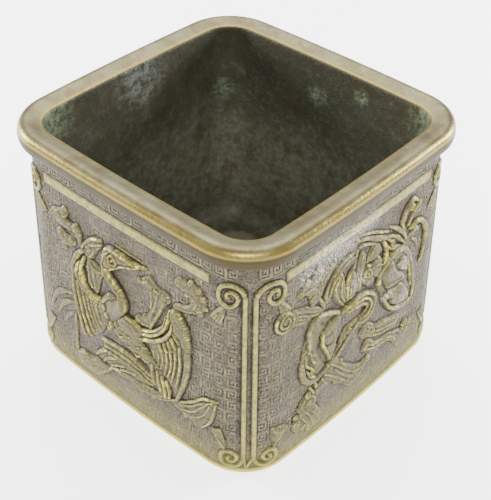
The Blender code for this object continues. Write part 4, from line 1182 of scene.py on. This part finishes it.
def wall_finish():
    """Grey-brown ground, painted shade in the hollows, painted glints and a painted glow low down, and
    relief rubbed down to the yellow metal.
    """
    finish = Finish("relief_bronze")
    rub = finish.attribute("rub")
    hollow_shade = finish.attribute("hollow_shade")
    polish = finish.attribute("polish")
    figure = finish.attribute("figure")
    fret = finish.attribute("fret")
    mottle = finish.noise(11, 5, 0.6)
    speck = finish.noise(1.6, 4, 0.65)
    grain = finish.noise(0.55, 3, 0.6)
    uneven = finish.noise(5, 4, 0.6, 0.0, (0.1, 0.3, 0.2)).step(0.35, 0.65)
    colour = finish.mixed(mottle.step(0.35, 0.65), GROUND, GROUND_WARM)
    colour = finish.mixed((uneven - speck * 0.4).clipped() * 0.5, colour, GROUND_DARK)
    colour = finish.mixed((fret * (0.3 + 0.9 * speck.step(0.3, 0.7))).clipped(), colour, FRET_BRONZE)
    colour = finish.mixed((figure * (0.25 + 0.6 * speck)).clipped(), colour, OLIVE_BRONZE)
    plain = (1.0 - fret) * (1.0 - figure) * (1.0 - polish)
    flecks = finish.noise(1.0, 3, 0.7, 0.0, (0.3, 0.1, 0.4)).step(0.56, 0.68)
    colour = finish.mixed(flecks * 0.45, colour, STRIP_GOLD)
    # Painted shade: the hollows round and between the forms are darkened in the colour. The plain ground is
    # darkened too, in a fine grain.
    painted_hollow_shade = hollow_shade * (0.3 + 0.65 * uneven + 0.6 * speck)
    grime_and_shade = (painted_hollow_shade + plain * (0.9 * grain.step(0.35, 0.7) - 0.1)).clipped()
    colour = finish.mixed(grime_and_shade, colour, GRIME_AND_SHADE)
    worn = (rub * (0.1 + 1.1 * speck.step(0.3, 0.7)) * (0.5 + 0.8 * uneven)).clipped()
    colour = finish.mixed(worn, colour, GOLD)
    # Painted light: the walls' lowest part, up to about 15 mm, is painted lighter and more golden, a glow
    # from the bright floor.
    painted_floor_glow = (1.0 - finish.level().step(0.003, 0.015)) * (0.1 + 0.8 * speck)
    colour = finish.mixed(painted_floor_glow.clipped() * 0.6, colour, STRIP_GOLD)
    bright = (polish * (0.25 + 0.5 * mottle + 0.8 * (speck.step(0.3, 0.7) - 0.2))).clipped()
    colour = finish.mixed(bright, colour, STRIP_GOLD)
    foot = (1.0 - finish.level().step(0.0018, 0.0026)) * (0.3 + 0.9 * speck)
    colour = finish.mixed(foot.clipped(), colour, GOLD)
    # Painted highlights: pale glints on the right wall's fret under the band and on its smooth domes.
    pale = 0.0
    for middle, size in GLINT_SPOTS:
        pale = pale + finish.spot(middle, size) * 1.8
    painted_glints = (pale * grain.step(0.45, 0.62) * speck.step(0.3, 0.6)).clipped()
    colour = finish.mixed(painted_glints * 0.75, colour, GLINT_WHITE)
    rough = (0.50 - 0.22 * worn - 0.14 * bright + 0.2 * grime_and_shade + 0.25 * (grain - 0.5)).clipped()
    metal = (0.55 + 0.35 * worn + 0.3 * bright - 0.45 * grime_and_shade).clipped()
    finish.feed(finish.shader.inputs["Metallic"], metal)
    return finish.done(colour, rough, grain + speck, 0.10)


def rim_finish():
    """Warm grey top with rubbed gold edges, streaked with brown and a little green, and painted shade along
    its lower side.
    """
    finish = Finish("rim_bronze")
    place = finish.attribute("rim_place")
    side = finish.attribute("rim_side")
    mottle = finish.noise(13, 5, 0.65, 0.3)
    speck = finish.noise(2.2, 5, 0.7)
    grain = finish.noise(0.6, 3, 0.6)
    colour = finish.mixed(mottle.step(0.35, 0.62), RIM_GREY, RIM_PALE)
    brown = finish.noise(6, 6, 0.7, 0.4, (0.4, 0.2, 0.0))
    streaks = (brown.step(0.48, 0.66) * 0.55 + speck.step(0.5, 0.7) * 0.4).clipped()
    colour = finish.mixed(streaks, colour, RIM_BROWN)
    green = finish.noise(7, 4, 0.6, 0.0, (0.2, 0.1, 0.3)).step(0.55, 0.72)
    colour = finish.mixed(green * 0.35, colour, RIM_GREEN)
    shoulder = (1.0 - place.step(0.14, 0.30)) * side.step(0.02, 0.12) * (1.0 - side.step(0.42, 0.6))
    edge = place.step(0.80, 0.92)
    line = ((shoulder + edge) * (0.2 + 1.2 * speck)).clipped()
    colour = finish.mixed(line, colour, RIM_GOLD)
    # Painted shadow: a dark line below the top's edge, and the rim's underside painted darker.
    low = side.step(0.28, 0.46) * (1.0 - place.step(0.9, 0.95))
    colour = finish.mixed((low * (0.6 + speck)).clipped(), colour, RIM_SHADE)
    colour = finish.mixed(side.step(0.7, 0.95) * 0.7, colour, RIM_UNDER_SHADE)
    finish.shader.inputs["Metallic"].default_value = 0.8
    rough = (0.36 + 0.25 * (mottle - 0.5) + 0.2 * (grain - 0.5) - 0.08 * line + 0.2 * low).clipped()
    return finish.done(colour, rough, grain + speck + mottle, 0.07)


def inside_finish():
    """Dark olive patina, mottled, with pale and green blooms where they show in the mouth."""
    finish = Finish("patina")
    finish.shader.inputs["Metallic"].default_value = 0.1
    mottle = finish.noise(18, 6, 0.65, 0.3)
    speck = finish.noise(2.4, 6, 0.75)
    grain = finish.noise(0.9, 4, 0.7)
    light = (mottle.step(0.38, 0.68) * 0.5 + speck.step(0.48, 0.68) * 0.7).clipped()
    colour = finish.mixed(light, PATINA, PATINA_LIGHT)
    level = finish.level()
    colour = finish.mixed(level.step(0.066, 0.088) * 0.45, colour, MOUTH_SHADE)
    # Painted light: the lower inside walls are painted paler, in specks, and less so right at the floor.
    painted_low_light = level.step(0.070, 0.040) * (0.4 + 0.6 * speck.step(0.38, 0.66))
    painted_low_light = painted_low_light * (0.35 + 0.65 * level.step(0.008, 0.024))
    colour = finish.mixed(painted_low_light, colour, PATINA_LIT)
    rust = finish.noise(9, 5, 0.6, 0.0, (0.3, 0.0, 0.1)).step(0.5, 0.68)
    colour = finish.mixed(rust * 0.5, colour, RUST)
    pale = (finish.spot(*CHALK_SPOT) * 2.0 * speck.step(0.38, 0.68)).clipped()
    colour = finish.mixed(pale * 0.55, colour, CHALK)
    green = 0.0
    for middle, size in GREEN_SPOTS:
        green = green + finish.spot(middle, size) * 2.0
    colour = finish.mixed((green * speck.step(0.38, 0.66)).clipped() * 0.6, colour, VERDIGRIS)
    disc = (finish.spot(*EARTH_SPOT) + 0.7 * (mottle - 0.5) + 0.4 * (speck - 0.5)).step(0.05, 0.35)
    colour = finish.mixed(disc * 0.6, colour, EARTH)
    rough = (0.42 + 0.35 * (grain - 0.5) + 0.15 * speck).clipped()
    return finish.done(colour, rough, grain + speck + mottle, 0.22)


def under_finish():
    """The underside: plain cast bronze, darkened, rubbed a little where it stands."""
    finish = Finish("underside_bronze")
    finish.shader.inputs["Metallic"].default_value = 0.6
    mottle = finish.noise(12, 5, 0.6)
    speck = finish.noise(2.0, 5, 0.7)
    colour = finish.mixed(mottle.step(0.3, 0.7), GROUND, GROUND_WARM)
    colour = finish.mixed(speck.step(0.5, 0.75) * 0.6, colour, OLIVE_BRONZE)
    return finish.done(colour, 0.45 + 0.2 * mottle, finish.noise(1.0, 4, 0.6), 0.08)


# The camera stands where the photograph's did, 0.38 m away, solved from the rim and foot outlines.
CAMERA_TARGET_UP = 44.0
CAMERA_DISTANCE = 380.0
CAMERA_STAND = (42.58, 38.144)
CAMERA_LOOK = (41.996, 39.025)
CAMERA_ROLL = 0.785
FOCAL_PIXELS = 1133.8
IMAGE_HEIGHT = 500
SENSOR = 36.0


# The lights: name, azimuth, elevation, size and power. Daylight from behind on both sides lights each
# wall's relief from across it, the top light lifts the rim's far side, and the front one is a weak fill.
LIGHTS = (("back_left", -68, 22, 0.3, 12), ("back_right", 153, 22, 0.3, 12), ("top", 222, 58, 0.7, 7),
          ("front", 42, 46, 0.4, 6))
LIGHT_DISTANCE = 0.8
SKY_STRENGTH = 0.8
GROUND_SIZE, GROUND_GLOW = 6.0, 2.4
PAPER, WHITE = (0.93, 0.93, 0.93, 1.0), (1.0, 1.0, 1.0, 1.0)


def direction(azimuth, elevation):
    """The way to a place seen from the middle; azimuth 0 is in front of the front wall."""
    turn, rise = math.radians(azimuth), math.radians(elevation)
    return Vector((math.sin(turn) * math.cos(rise), -math.cos(turn) * math.cos(rise), math.sin(rise)))


def make_camera():
    data = bpy.data.cameras.new("camera")
    data.sensor_width = SENSOR
    data.sensor_height = SENSOR
    data.lens = FOCAL_PIXELS * SENSOR / IMAGE_HEIGHT
    data.clip_start = 0.01
    camera = bpy.data.objects.new("camera", data)
    bpy.context.scene.collection.objects.link(camera)
    place = (Vector((0, 0, CAMERA_TARGET_UP)) + direction(*CAMERA_STAND) * CAMERA_DISTANCE) * MM
    back = direction(*CAMERA_LOOK)
    right = Vector((0, 0, 1)).cross(back).normalized()
    up = back.cross(right)
    roll = math.radians(CAMERA_ROLL)
    right, up = (right * math.cos(roll) + up * math.sin(roll),
                 up * math.cos(roll) - right * math.sin(roll))
    turn = Matrix((right, up, back)).transposed().to_4x4()
    camera.matrix_world = Matrix.Translation(place) @ turn
    bpy.context.scene.camera = camera


def soft_light(name, azimuth, elevation, size, power):
    data = bpy.data.lights.new(name, "AREA")
    data.shape = "DISK"
    data.size = size
    data.energy = power
    light = bpy.data.objects.new(name, data)
    light.location = direction(azimuth, elevation) * LIGHT_DISTANCE
    light.rotation_euler = direction(azimuth, elevation).to_track_quat("Z", "Y").to_euler()
    bpy.context.scene.collection.objects.link(light)


def make_studio():
    world = bpy.data.worlds.new("studio")
    bpy.context.scene.world = world
    world.use_nodes = True
    sky = world.node_tree.nodes["Background"]
    sky.inputs["Color"].default_value = WHITE
    sky.inputs["Strength"].default_value = SKY_STRENGTH
    deselect()
    bpy.ops.mesh.primitive_plane_add(size=GROUND_SIZE, location=(0, 0, 0))
    floor = bpy.context.object
    floor.name = "ground"
    material = bpy.data.materials.new("paper")
    material.use_nodes = True
    shader = material.node_tree.nodes["Principled BSDF"]
    shader.inputs["Base Color"].default_value = PAPER
    shader.inputs["Roughness"].default_value = 0.9
    shader.inputs["Emission Color"].default_value = WHITE
    shader.inputs["Emission Strength"].default_value = GROUND_GLOW
    floor.data.materials.append(material)
    for light in LIGHTS:
        soft_light(*light)


make_camera()
make_studio()
relief_bronze = wall_finish()
patina = inside_finish()
for wall_index in range(4):
    make_wall(wall_index, (relief_bronze, patina))
make_rim((rim_finish(), patina))
make_floor((under_finish(), patina))
